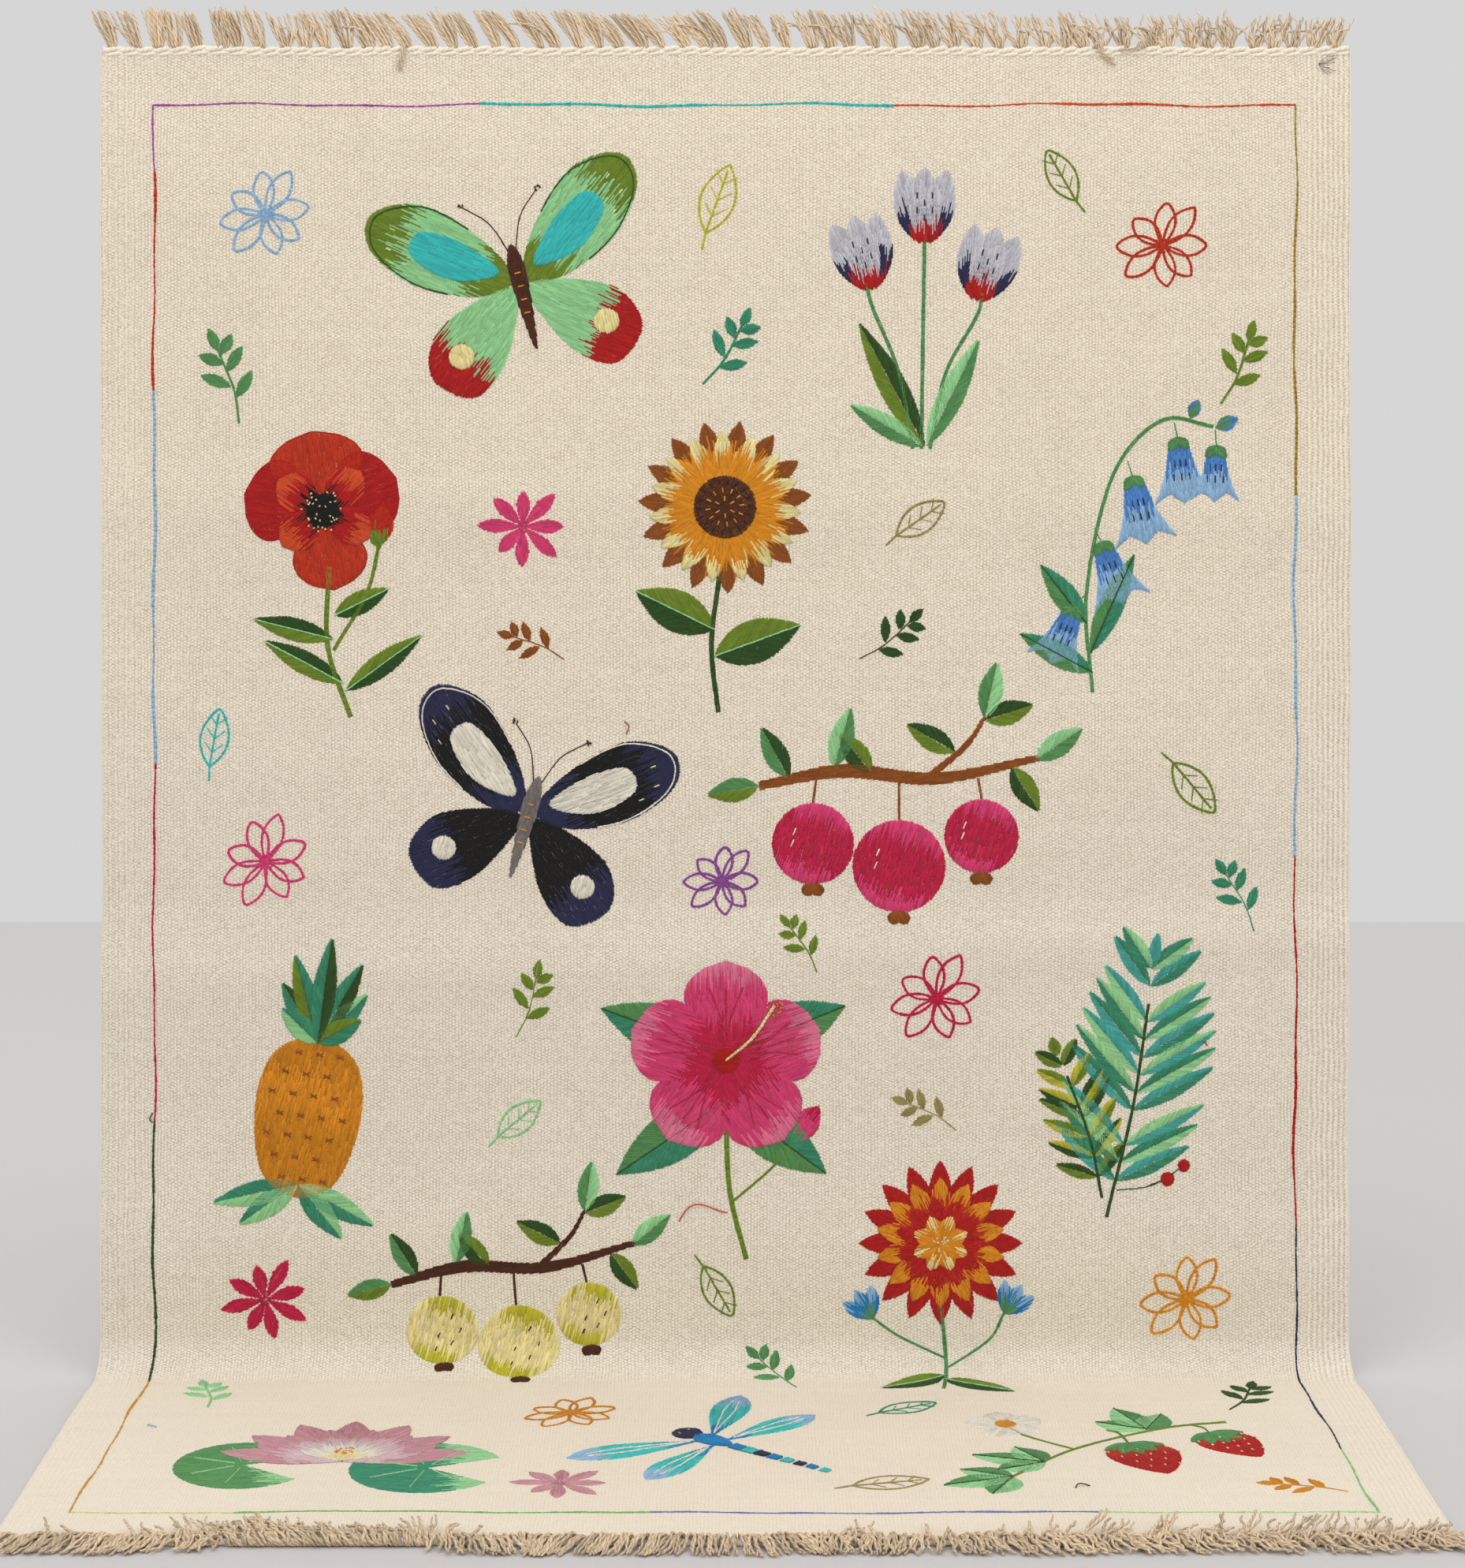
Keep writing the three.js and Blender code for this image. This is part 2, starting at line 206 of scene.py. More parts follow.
def table_values(rows, place, at, column):
    """A named column of a table at many places, eased from row to row."""
    stops = np.array([row[place] for row in rows], dtype=float)
    values = np.array([row[column] for row in rows], dtype=float)
    at = np.clip(np.asarray(at, dtype=float), stops[0], stops[-1])
    after = np.clip(np.searchsorted(stops, at), 1, len(stops) - 1)
    share = smooth((at - stops[after - 1]) / (stops[after] - stops[after - 1]))
    return values[after - 1] + (values[after] - values[after - 1]) * share


# The cloth's surface
CREASE_FADE = 60.0


def stand_off(across, down):
    """How far the hanging cloth stands off its plane, as in the solid."""
    fade = smooth(down / CREASE_FADE) * smooth((STRAIGHT_HANG - down) / CREASE_FADE)
    total = np.zeros_like(across + down)
    for crease in CREASES:
        off = (down - crease["down"] + crease["slope"] * across) / crease["spread"]
        total += crease["out"] * np.exp(-off * off)
    return fade * total


def unevenness(across, down):
    """The small rise and fall of hand-woven cloth, never under its plane."""
    wave = np.sin(across / 130 + 1.3) * np.sin(down / 95)
    wave = wave + 0.6 * np.sin(across / 61 + down / 83) + 0.4 * np.sin(down / 37 + across / 210)
    return 0.6 * (2 + wave) * smooth((down - 20) / 80)


def on_cloth(across, down, out):
    """Points in space, in metres, for places on the cloth and distances out from its back."""
    across, down, out = np.broadcast_arrays(*(np.asarray(x, dtype=float) for x in (across, down, out)))
    out = out + unevenness(across, down)
    angle = np.clip((down - STRAIGHT_HANG) / BEND_RADIUS, 0, math.pi / 2)
    radius = BEND_RADIUS - out
    flat = np.maximum(0, down - STRAIGHT_HANG - BEND_LENGTH)
    hanging = down <= STRAIGHT_HANG
    y = np.where(
        hanging,
        -out - stand_off(across, down),
        -BEND_RADIUS + radius * np.cos(angle) - flat,
    )
    z = np.where(hanging, -down, -HANG_HEIGHT + BEND_RADIUS - radius * np.sin(angle))
    return np.stack([across, y, z], axis=-1) * MM


def side_edge(down, side):
    """How far across the cloth's left (-1) or right (1) edge lies."""
    stray = table_values(SIDE_EDGES, "down", down, "left" if side < 0 else "right")
    return side * (RUG_WIDTH / 2 + stray)


# Meshes. Each yarn's twist starts this many metres after the last one's, so that no two look alike
TWIST_SHIFT = 0.137


def template(bm):
    """The points and triangles of a small closed shape, taken from a bmesh."""
    bmesh.ops.triangulate(bm, faces=bm.faces[:])
    bm.verts.index_update()
    points = np.array([v.co[:] for v in bm.verts])
    faces = np.array([[v.index for v in face.verts] for face in bm.faces])
    bm.free()
    return points, faces


def stitch_template():
    """A stitch lying along z: a ridge of three sides with short pointed ends."""
    bm = bmesh.new()
    bmesh.ops.create_uvsphere(bm, u_segments=3, v_segments=3, radius=1)
    points, faces = template(bm)
    ridge = np.abs(points[:, 2]) < 0.9
    points[ridge, :2] /= np.linalg.norm(points[ridge, :2], axis=1, keepdims=True)
    points[ridge, 2] = np.sign(points[ridge, 2]) * 0.8
    points[:, 0] /= np.abs(points[:, 0]).max()
    return points, faces


def tube_template(steps, sides):
    """A capped tube along z from 0 to 1, with a ring of points at each step."""
    bm = bmesh.new()
    bmesh.ops.create_cone(
        bm, cap_ends=True, cap_tris=False, segments=sides, radius1=1, radius2=1, depth=1
    )
    lengthwise = [e for e in bm.edges if abs(e.verts[0].co.z - e.verts[1].co.z) > 0.5]
    bmesh.ops.subdivide_edges(bm, edges=lengthwise, cuts=steps - 2, use_grid_fill=True)
    points, faces = template(bm)
    points[:, 2] += 0.5
    return points, faces


def joined_mesh(name, points, faces, material, dyes, along, around):
    """One object from many copies of a template: points is (copies, corners, 3), in metres.

    along and around say where each corner lies on its yarn, which the twist of the plies follows.
    """
    copies, corners = points.shape[:2]
    a, b, c = (points[0, faces[:, i]] - points[0].mean(axis=0) for i in range(3))
    if (a * np.cross(b, c)).sum() < 0:
        faces = faces[:, ::-1]
    all_faces = (faces[None] + (np.arange(copies) * corners)[:, None, None]).reshape(-1, 3)
    mesh = bpy.data.meshes.new(name)
    mesh.from_pydata(points.reshape(-1, 3), [], all_faces)
    mesh.shade_smooth()
    fibre = np.empty_like(points)
    fibre[..., 0] = along + np.arange(copies)[:, None] * TWIST_SHIFT
    fibre[..., 1:] = around[:, :2]
    colours = np.ones((copies, corners, 4))
    colours[..., :3] = dyes[:, None, :]
    mesh.color_attributes.new("dye", "FLOAT_COLOR", "POINT").data.foreach_set("color", colours.ravel())
    mesh.attributes.new("fibre", "FLOAT_VECTOR", "POINT").data.foreach_set("vector", fibre.ravel())
    return finished(name, mesh, material)


def in_scene(name, data):
    """A new object at the origin."""
    made = bpy.data.objects.new(name, data)
    bpy.context.scene.collection.objects.link(made)
    return made


def finished(name, mesh, material):
    """A mesh as a piece that rides on the rug."""
    piece = in_scene(name, mesh)
    mesh.materials.append(material)
    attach(piece, "root")
    return piece


def unit(vectors):
    """Vectors at a length of 1."""
    return vectors / np.maximum(np.linalg.norm(vectors, axis=-1, keepdims=True), 1e-9)


def tubes(name, paths, radii, sides, material, dyes, start=(0, -1, 0)):
    """Round yarns along many paths, (yarns, steps, 3) in metres, with a radius for each yarn and step."""
    count, steps = paths.shape[:2]
    tangent = unit(np.gradient(paths, axis=1))
    side = np.empty_like(paths)
    side[:, 0] = unit(np.cross(np.broadcast_to(np.array(start, dtype=float), (count, 3)), tangent[:, 0]))
    for step in range(1, steps):
        carried = side[:, step - 1]
        carried = carried - tangent[:, step] * (carried * tangent[:, step]).sum(axis=-1, keepdims=True)
        side[:, step] = unit(carried)
    rise = np.cross(tangent, side)
    around, faces = tube_template(steps, sides)
    ring = np.rint(around[:, 2] * (steps - 1)).astype(int)
    radii = np.broadcast_to(np.asarray(radii, dtype=float), (count, steps))[:, ring, None]
    outwards = around[:, 0, None] * side[:, ring] + around[:, 1, None] * rise[:, ring]
    points = paths[:, ring] + radii * outwards
    lengths = np.linalg.norm(np.diff(paths, axis=1), axis=-1)
    along = np.concatenate([np.zeros((count, 1)), np.cumsum(lengths, axis=1)], axis=1)
    dyes = np.broadcast_to(dyes, (count, 3))
    return joined_mesh(name, points, faces, material, dyes, along[:, ring], around)


# Shader maths
class Wire:
    """A node's output that takes part in arithmetic: each sum adds the Math node it needs."""

    def __init__(self, finish, socket):
        self.finish = finish
        self.socket = socket

    def math(self, operation, *others):
        return self.finish.math(operation, self, *others)

    def __add__(self, other):
        return self.math("ADD", other)

    __radd__ = __add__

    def __sub__(self, other):
        return self.math("SUBTRACT", other)

    def __rsub__(self, other):
        return self.finish.math("SUBTRACT", other, self)

    def __mul__(self, other):
        return self.math("MULTIPLY", other)

    __rmul__ = __mul__

    def __truediv__(self, other):
        return self.math("DIVIDE", other)

    def __rtruediv__(self, other):
        return self.finish.math("DIVIDE", other, self)

    def cos(self):
        return self.math("COSINE")

    def sin(self):
        return self.math("SINE")


class Finish:
    """A material of the rug and the nodes that paint it."""

    def __init__(self, name):
        self.material = bpy.data.materials.new(name)
        self.material.use_nodes = True
        self.tree = self.material.node_tree
        self.shader = self.tree.nodes["Principled BSDF"]

    def node(self, kind, settings=None, inputs=None, output=0):
        """Adds a node of any kind: its settings first, then the values or wires of its inputs."""
        made = self.tree.nodes.new(kind)
        for name, value in (settings or {}).items():
            setattr(made, name, value)
        for key, value in (inputs or {}).items():
            if isinstance(value, Wire):
                self.tree.links.new(value.socket, made.inputs[key])
            else:
                made.inputs[key].default_value = value
        return Wire(self, made.outputs[output])

    def math(self, operation, *values):
        return self.node("ShaderNodeMath", {"operation": operation}, dict(enumerate(values)))

    def split(self, vector):
        first = self.node("ShaderNodeSeparateXYZ", None, {0: vector})
        outputs = first.socket.node.outputs
        return [Wire(self, outputs[i]) for i in range(3)]

    def vector(self, x, y, z=0.0):
        return self.node("ShaderNodeCombineXYZ", None, {0: x, 1: y, 2: z})

    def noise(self, vector, scale, detail=2.0, roughness=0.5):
        inputs = {"Vector": vector, "Scale": scale, "Detail": detail, "Roughness": roughness}
        return self.node("ShaderNodeTexNoise", None, inputs)

    def fade(self, value, low, high):
        """0 below low and 1 above high, eased between them."""
        inputs = {"Value": value, "From Min": low, "From Max": high}
        return self.node("ShaderNodeMapRange", {"interpolation_type": "SMOOTHSTEP"}, inputs)

    def blend(self, factor, a, b, mode="MIX"):
        """A colour between two others, or one laid over another."""
        settings = {"data_type": "RGBA", "blend_type": mode}
        return self.node("ShaderNodeMix", settings, {0: factor, 6: a, 7: b}, output=2)

    def brighten(self, colour, value):
        """A colour times a number."""
        return self.node("ShaderNodeVectorMath", {"operation": "SCALE"}, {0: colour, "Scale": value})

    def bump(self, height, distance, strength):
        inputs = {"Height": height, "Distance": distance, "Strength": strength}
        return self.node("ShaderNodeBump", None, inputs)

    def wool(self, colour, normal, roughness, sheen):
        """Ends the nodes in a matt woollen surface."""
        self.tree.links.new(colour.socket, self.shader.inputs["Base Color"])
        self.tree.links.new(normal.socket, self.shader.inputs["Normal"])
        self.shader.inputs["Roughness"].default_value = roughness
        self.shader.inputs["Sheen Weight"].default_value = sheen
        self.shader.inputs["Sheen Roughness"].default_value = 0.5
        self.shader.inputs["Specular IOR Level"].default_value = 0.2
        return self.material


def rgba(colour):
    """A colour with its alpha."""
    return (*colour[:3], 1.0)


def ground_finish(weave):
    """Flat-woven wool: a brick lattice of beads where the thick weft passes over the warps, with painted
    shade in the gaps between them.
    """
    f = Finish("ground_wool")
    place = f.node("ShaderNodeUVMap", {"uv_map": "cloth"})
    place = f.node("ShaderNodeVectorMath", {"operation": "SCALE"}, {0: place, "Scale": 1 / MM})
    x, y, _ = f.split(place)
    wander_x = (f.noise(place, 1 / 55) - 0.5) * 7.0
    wander_y = (f.noise(place, 1 / 38) - 0.5) * 5.0
    fine_wander = (f.noise(place, 1 / 9) - 0.5) * 1.4
    thick_and_thin = f.noise(f.vector(x / 160, y / 5.5), 1.0, 1.0) * 2.6
    column = x + wander_x + fine_wander
    row = y + wander_y + thick_and_thin + fine_wander * 0.5
    across_warps = (column * (math.pi / weave.warp_pitch * MM)).cos()
    across_wefts = (row * (math.pi / weave.weft_pitch * MM)).cos()
    beads = across_warps * across_wefts
    close_beads = (column * (math.pi / weave.margin_pitch * MM)).cos() * across_wefts
    ribs = (column * (math.pi / weave.margin_pitch * MM)).cos()
    right_margin = f.fade(x, BORDER_RIGHT + 8, BORDER_RIGHT + 20)
    left_margin = 1 - f.fade(x, BORDER_LEFT - 20, BORDER_LEFT - 8)
    margin = right_margin * 0.85 + left_margin * 0.35
    strings = (column * (2 * math.pi / weave.warp_pitch * MM)).cos()
    beads = beads * 0.62 + strings * 0.3
    ribbed = f.fade(f.noise(place, 1 / 70, 2.0, 0.6), 0.5, 0.75) * 0.4
    beads = beads * (1 - ribbed) + strings * ribbed * 0.6
    pattern = beads * (1 - margin) + (close_beads * 0.4 + ribs * 0.42) * margin
    firmness = f.fade(f.noise(place, 1 / 23, 2.0, 0.6), 0.3, 0.7) * 0.5 + 0.5
    uneven = (f.noise(f.vector(x / 2.6, y / 1.5, 1.7), 1.0, 2.0, 0.7) - 0.5) * 2.6
    lying = f.fade(y, STRAIGHT_HANG + 20, STRAIGHT_HANG + BEND_LENGTH + 20)
    height = f.fade(pattern * firmness + uneven, -0.95, 0.6)
    # On the floor part, which is lit from above, the beads' painted gap shade and their bump are weaker
    height = height * (1 - lying * 0.6) + lying * 0.5

    streaks = f.noise(f.vector(x / 15, y / 1.9), 1.0, 3.0, 0.62)
    grey_patches = f.fade(f.noise(place, 1 / 75, 2.0, 0.6), 0.35, 0.7)
    grey_fibre = f.fade(streaks, 0.5, 0.7) * (grey_patches * 0.4 + 0.12) * (1 - lying * 0.6)
    long_streaks = f.noise(f.vector(x / 48, y / 2.4, 5.3), 1.0, 2.0, 0.6)
    grey_fibre = grey_fibre + f.fade(long_streaks, 0.58, 0.74) * 0.16 * (1 - lying * 0.7)
    flecks = f.fade(f.noise(f.vector(x / 6, y / 1.3, 3.1), 1.0, 2.0, 0.6), 0.68, 0.76)
    clouds = f.noise(place, 1 / 170, 3.0, 0.6)
    bands = f.noise(f.vector(x / 900, y / 13, 7.7), 1.0, 2.0, 0.6)
    # The floor part's tone is a little lighter: painted light from above
    tone = 0.925 + clouds * 0.08 + bands * 0.08 + lying * 0.025
    # Painted shadow under the top twining: the gaps of the first rows darken to the fleck colour
    twining_shadow = (1 - f.fade(y, 2.0, 7.0)) * 0.5

    # Painted shade: the gaps between the beads take a darker colour, following the weave's height
    colour = f.blend(height, rgba(weave.gap_shade_colour), rgba(weave.bead_colour))
    colour = f.blend(grey_fibre, colour, rgba(weave.heather_colour))
    colour = f.blend(flecks * 0.45, colour, rgba(weave.fleck_and_shadow_colour))
    colour = f.blend((1 - height) * twining_shadow, colour, rgba(weave.fleck_and_shadow_colour))
    colour = f.brighten(colour, tone)
    # Painted light: the hanging cloth is tinted cooler towards its foot, against the warm light bounced
    # onto it
    cool_light_tint = f.fade(y, 350, 1500) * (1 - lying)
    colour = f.blend(cool_light_tint, colour, (0.98, 1.015, 1.07, 1.0), "MULTIPLY")
    fuzz = f.noise(place, 1.1, 3.0, 0.7)
    normal = f.bump(height * 0.75 + fuzz * 0.25, weave.relief, 0.9)
    return f.wool(colour, normal, 0.95, 0.3)


def yarn_finish(name, ply_pitch, groove_shade, sheen=0.2):
    """Plied wool yarn in the dye that each yarn carries, with painted shade in the groove between its
    plies.
    """
    f = Finish(name)
    fibre = f.node("ShaderNodeAttribute", {"attribute_name": "fibre"}, output=1)
    along, side, rise = f.split(fibre)
    angle = rise.math("ARCTAN2", side)
    ply = (angle * 2 + along * (2 * math.pi / ply_pitch)).sin() * 0.5 + 0.5
    place = f.node("ShaderNodeTexCoord", output=3)
    hairs = f.noise(f.vector(along * 260, side * 2.2, rise * 2.2), 1.0, 3.0, 0.65)
    tufts = f.noise(place, 420.0, 2.0, 0.6)
    drift = f.noise(place, 22.0, 2.0, 0.5)
    tone = 0.8 + hairs * 0.24 + tufts * 0.1 + drift * 0.1
    # Painted shade in the groove between the plies
    tone = tone * (f.fade(ply, 0.0, 0.6) * groove_shade + (1 - groove_shade))
    dye = f.node("ShaderNodeAttribute", {"attribute_name": "dye"}, output=0)
    normal = f.bump(ply * 0.7 + hairs * 0.3, 0.5 * MM, 0.8)
    return f.wool(f.brighten(dye, tone), normal, 0.85, sheen)


# Sizes and colours that a user would change
def length_setting(name, description, millimetres):
    return FloatProperty(name=name, description=description, default=millimetres * MM, unit="LENGTH")


def colour_setting(name, description, rgb):
    return FloatVectorProperty(name=name, description=description, default=linear(rgb), subtype="COLOR")


def thread_setting(name, description, threads):
    return IntProperty(name=name, description=description, default=threads, min=2, max=14)


class RugWeave(bpy.types.PropertyGroup):
    """The ground cloth's weave"""

    warp_pitch: length_setting("Warp pitch", "From one warp to the next", 4.2)
    weft_pitch: length_setting("Weft pitch", "From one row of weft to the next", 2.0)
    margin_pitch: length_setting("Margin pitch", "Between warps outside the border", 3.4)
    relief: length_setting("Relief", "Height of the beads of weft", 0.45)
    bead_colour: colour_setting("Wool", "Undyed weft", (239, 228, 209))
    # The gaps' colour is painted shade between the beads
    gap_shade_colour: colour_setting("Gaps", "Between the beads", (182, 165, 139))
    heather_colour: colour_setting("Heather", "Darker fibres", (176, 162, 140))
    # The colour of single dark fibres, also used for the painted shadow under the top twining
    fleck_and_shadow_colour: colour_setting("Flecks", "Single dark fibres", (132, 112, 84))


class RugFringe(bpy.types.PropertyGroup):
    """The warp ends at both ends of the rug"""

    lock_pitch: length_setting("Lock pitch", "From one lock to the next", 27)
    top_threads: thread_setting("Top threads", "Warp ends in a lock of the top fringe", 11)
    floor_threads: thread_setting("Floor threads", "Warp ends in a lock of the floor fringe", 11)
    thread_radius: length_setting("Thread radius", "Of one plied warp", 1.45)
    floor_swell: FloatProperty(
        name="Swell", description="Thickness of the looser floor threads to the top ones", default=1.18
    )
    ply_pitch: length_setting("Twist", "Length of one turn of the plies", 9.5)
    colour: colour_setting("Warp", "Grey-brown warp yarn", (222, 198, 165))


class RugStitches(bpy.types.PropertyGroup):
    """The embroidery"""

    yarn_width: length_setting("Yarn width", "Of one laid stitch", 1.9)
    raise_height: length_setting("Raise", "How far a stitch stands out of the cloth", 1.0)
    stitch_length: length_setting("Stitch length", "Of a stitch in a filled shape", 17)


class RugStudio(bpy.types.PropertyGroup):
    """Floor, light and camera"""

    camera_place: FloatVectorProperty(
        name="Camera",
        description="Where the level camera stands",
        default=(0.0035, -4.112, -0.480),
        subtype="XYZ",
    )
    lens: FloatProperty(name="Lens", description="Focal length in millimetres", default=73.57)
    near_floor: colour_setting("Near floor", "Pale grey paper", (199, 196, 196))
    far_floor: colour_setting("Far floor", "Where it fades", (214, 211, 211))
    air_colour: colour_setting("Air", "Seen past the floor", (214, 214, 214))


# The ground cloth
class RUG_OT_cloth(bpy.types.Operator):
    """Lays the ground cloth down the drop, round the bend and over the floor"""

    bl_idname = "rug.cloth"
    bl_label = "Ground cloth"

    columns = 96
    hang_rows = 128
    bend_rows = 14
    floor_rows = 44
    rim = 1.2

    def rows(self):
        bend_end = STRAIGHT_HANG + BEND_LENGTH
        hang = np.linspace(0, STRAIGHT_HANG, self.hang_rows, endpoint=False)
        bend = np.linspace(STRAIGHT_HANG, bend_end, self.bend_rows, endpoint=False)
        lying = np.linspace(bend_end, RUG_LENGTH, self.floor_rows + 1)
        rim = [self.rim, RUG_LENGTH - self.rim]
        return np.sort(np.concatenate([hang, bend, lying, rim]))

    def execute(self, context):
        rows = self.rows()
        bm = bmesh.new()
        bmesh.ops.create_grid(bm, x_segments=self.columns, y_segments=len(rows) - 1, size=1)
        flat = np.array([v.co[:] for v in bm.verts])
        share = (1 - flat[:, 1]) / 2
        down = np.interp(share, np.linspace(0, 1, len(rows)), rows)
        side = flat[:, 0]
        # The columns next to the edges move out to the rim, which keeps the edge's shading narrow
        next_to_edge = (np.abs(side) < 0.999) & (np.abs(side) > 1 - 2.5 / self.columns)
        side = np.where(next_to_edge, np.sign(side) * (1 - 2 * self.rim / RUG_WIDTH), side)
        edge = np.where(side < 0, -side_edge(down, -1), side_edge(down, 1))
        across = side * (RUG_WIDTH / 2) + np.sign(side) * (edge - RUG_WIDTH / 2) * side * side
        points = on_cloth(across, down, CLOTH_THICKNESS)
        uv = bm.loops.layers.uv.new("cloth")
        for v, point in zip(bm.verts, points):
            v.co = point
        bm.verts.index_update()
        for face in bm.faces:
            for loop in face.loops:
                loop[uv].uv = (across[loop.vert.index] * MM, down[loop.vert.index] * MM)
        mesh = bpy.data.meshes.new("ground_cloth")
        bm.to_mesh(mesh)
        bm.free()
        mesh.shade_smooth()
        piece = finished("ground_cloth", mesh, ground_finish(context.scene.rug_weave))
        shell = piece.modifiers.new("thickness", "SOLIDIFY")
        shell.thickness = CLOTH_THICKNESS * MM
        shell.offset = -1
        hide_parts("cloth")
        return {"FINISHED"}


class RUG_OT_edges(bpy.types.Operator):
    """Overcasts the side edges and twines two rows of strands along each end"""

    bl_idname = "rug.edges"
    bl_label = "Side cords and twined ends"

    cord_steps = 460
    cord_radius = 2.0
    twist_pitch = 43.0
    twining_steps = 380
    # Distance from the end, radius, swing and lag of each row
    twined_rows = ((-1.4, 2.9, 1.7, 0.0), (4.2, 2.2, 1.1, 2.4))

    def execute(self, context):
        cream = np.array(context.scene.rug_weave.bead_colour) * 0.97
        down = np.linspace(0, RUG_LENGTH, self.cord_steps)
        cords = np.stack([on_cloth(side_edge(down, side), down, 2.0) for side in (-1, 1)])
        wraps = 1 + 0.06 * np.sin(down * 2 * math.pi / 6.5 + 0.8 * np.sin(down / 17))
        finish = yarn_finish("selvedge_wool", 2.2 * MM, 0.12)
        piece = tubes("side_cords", cords, self.cord_radius * MM * wraps, 8, finish, cream)

        across = np.linspace(-RUG_WIDTH / 2 + 1, RUG_WIDTH / 2 - 1, self.twining_steps)
        finish = yarn_finish("twined_wool", 7 * MM, 0.1)
        sway = 0.7 * np.sin(across / 47) + 0.5 * np.sin(across / 19 + 2)
        stretched = across + 5 * np.sin(across / 71) + 2 * np.sin(across / 23)
        phase = 2 * math.pi * stretched / self.twist_pitch
        for name, node, down, inward in (
            ("top_twining", "top_fringe", 0.0, 1),
            ("floor_twining", "floor_fringe", RUG_LENGTH, -1),
        ):
            strands, girths = [], []
            for offset, radius, swing, lag in self.twined_rows:
                for turn in (lag, lag + math.pi):
                    front = np.sin(phase + turn)
                    place = down + inward * offset + sway + swing * np.cos(phase + turn)
                    strands.append(on_cloth(across, place, CLOTH_THICKNESS / 2 + 1.5 * front))
                    girths.append(radius + 0.6 * front)
            strands = np.stack(strands)
            girths = np.stack(girths) * MM
            strands[..., 2] = np.maximum(strands[..., 2], -HANG_HEIGHT * MM + girths)
            piece = tubes(name, strands, girths, 8, finish, cream)
            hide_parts(node)
        return {"FINISHED"}


# The fringes
class Locks:
    """The numbers of every thread of a fringe, lock by lock."""

    def __init__(self, fringe, threads, rows, seed):
        self.chance = np.random.default_rng(seed)
        pitch = fringe.lock_pitch / MM
        self.locks = int(RUG_WIDTH // pitch)
        self.count = self.locks * threads
        self.lock = np.repeat(np.arange(self.locks), threads)
        self.number = np.tile(np.arange(threads), self.locks)
        self.order = self.number - (threads - 1) / 2
        self.across = (self.lock - (self.locks - 1) / 2) * pitch + self.shared(4.5)
        self.rows = rows

    def column(self, name):
        return table_values(self.rows, "across", self.across, name)

    def each(self, spread=1.0):
        """A number from -spread to spread for each thread."""
        return self.chance.uniform(-spread, spread, self.count)

    def shared(self, spread=1.0):
        """A number from -spread to spread for each lock, the same for all its threads."""
        return self.chance.uniform(-spread, spread, self.locks)[self.lock]

    def share(self):
        """A number from 0 to 1 for each thread."""
        return self.chance.random(self.count)

    def wave(self, along, size, turns):
        """A wandering offset for each thread, growing from its root."""
        start = self.each(math.pi)[:, None]
        pace = turns * (1 + self.each(0.35))[:, None]
        size = np.broadcast_to(size, self.count)[:, None]
        return size * np.sin(2 * math.pi * pace * along + start) * np.minimum(1, along * 2.5)

    def threads(self, name, paths, fringe, radius, start, shade=1.0):
        """The threads as one piece, each of its own shade and thickness, thinner at the cut end."""
        along = np.linspace(0, 1, paths.shape[1])[None]
        radii = radius * MM * (1 + self.each(0.2))[:, None] * (1.03 - 0.3 * along ** 5)
        shades = shade * np.array(fringe.colour) * (1 + self.each(0.16) + self.shared(0.07))[:, None]
        finish = yarn_finish(f"{name}_wool", fringe.ply_pitch, 0.36)
        piece = tubes(name, paths * MM, radii, 5, finish, shades, start)
        return piece


class RUG_OT_top_fringe(bpy.types.Operator):
    """Stands the warp ends of the top edge up in locks"""

    bl_idname = "rug.top_fringe"
    bl_label = "Top fringe"

    steps = 14

    # Spreads are in millimetres: a shared one moves a whole lock and each moves one thread
    def execute(self, context):
        fringe = context.scene.rug_fringe
        locks = Locks(fringe, fringe.top_threads, TOP_FRINGE, 11)
        mess = locks.column("mess")
        along = np.linspace(0, 1, self.steps)[None]
        lean = locks.column("lean") + locks.shared(6) + locks.each(1.5) + locks.each(9) * mess
        lean = lean + locks.order * (1.0 + 0.8 * mess + locks.shared(0.7))
        rise = locks.column("rise") + locks.shared(4) + locks.each(3) - locks.share() * 8 * mess
        rise = rise + 7 * (locks.share() < 0.03)
        kinked = (locks.share() < 0.03 + 0.42 * mess) * np.sign(locks.each())
        root = locks.across + locks.order * (1.15 + locks.shared(0.3)) + locks.each(0.5)
        bulge = locks.order * (0.5 + 0.6 * mess) + locks.each(1.0)
        x = root[:, None] + lean[:, None] * along ** 1.3 + bulge[:, None] * np.sin(math.pi * along)
        x = x + (kinked * 15)[:, None] * along ** 2.2 + locks.wave(along, 0.5 + 1.9 * mess, 1.1)
        z = 3.5 + rise[:, None] * along - (np.abs(kinked) * 17)[:, None] * along ** 3
        layer = (locks.number % 3 - 1)[:, None]
        y = -2.6 + layer * (1.7 + along) + locks.each(0.6)[:, None]
        y = y + locks.column("back")[:, None] * along ** 2 + locks.each(4)[:, None] * along
        y = y + locks.wave(along, 0.6 + 0.8 * mess, 1.1)
        paths = np.stack(np.broadcast_arrays(x, y, z), axis=-1)
        piece = locks.threads("top_fringe_threads", paths, fringe, fringe.thread_radius / MM, (0, -1, 0))
        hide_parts("top_fringe")
        return {"FINISHED"}


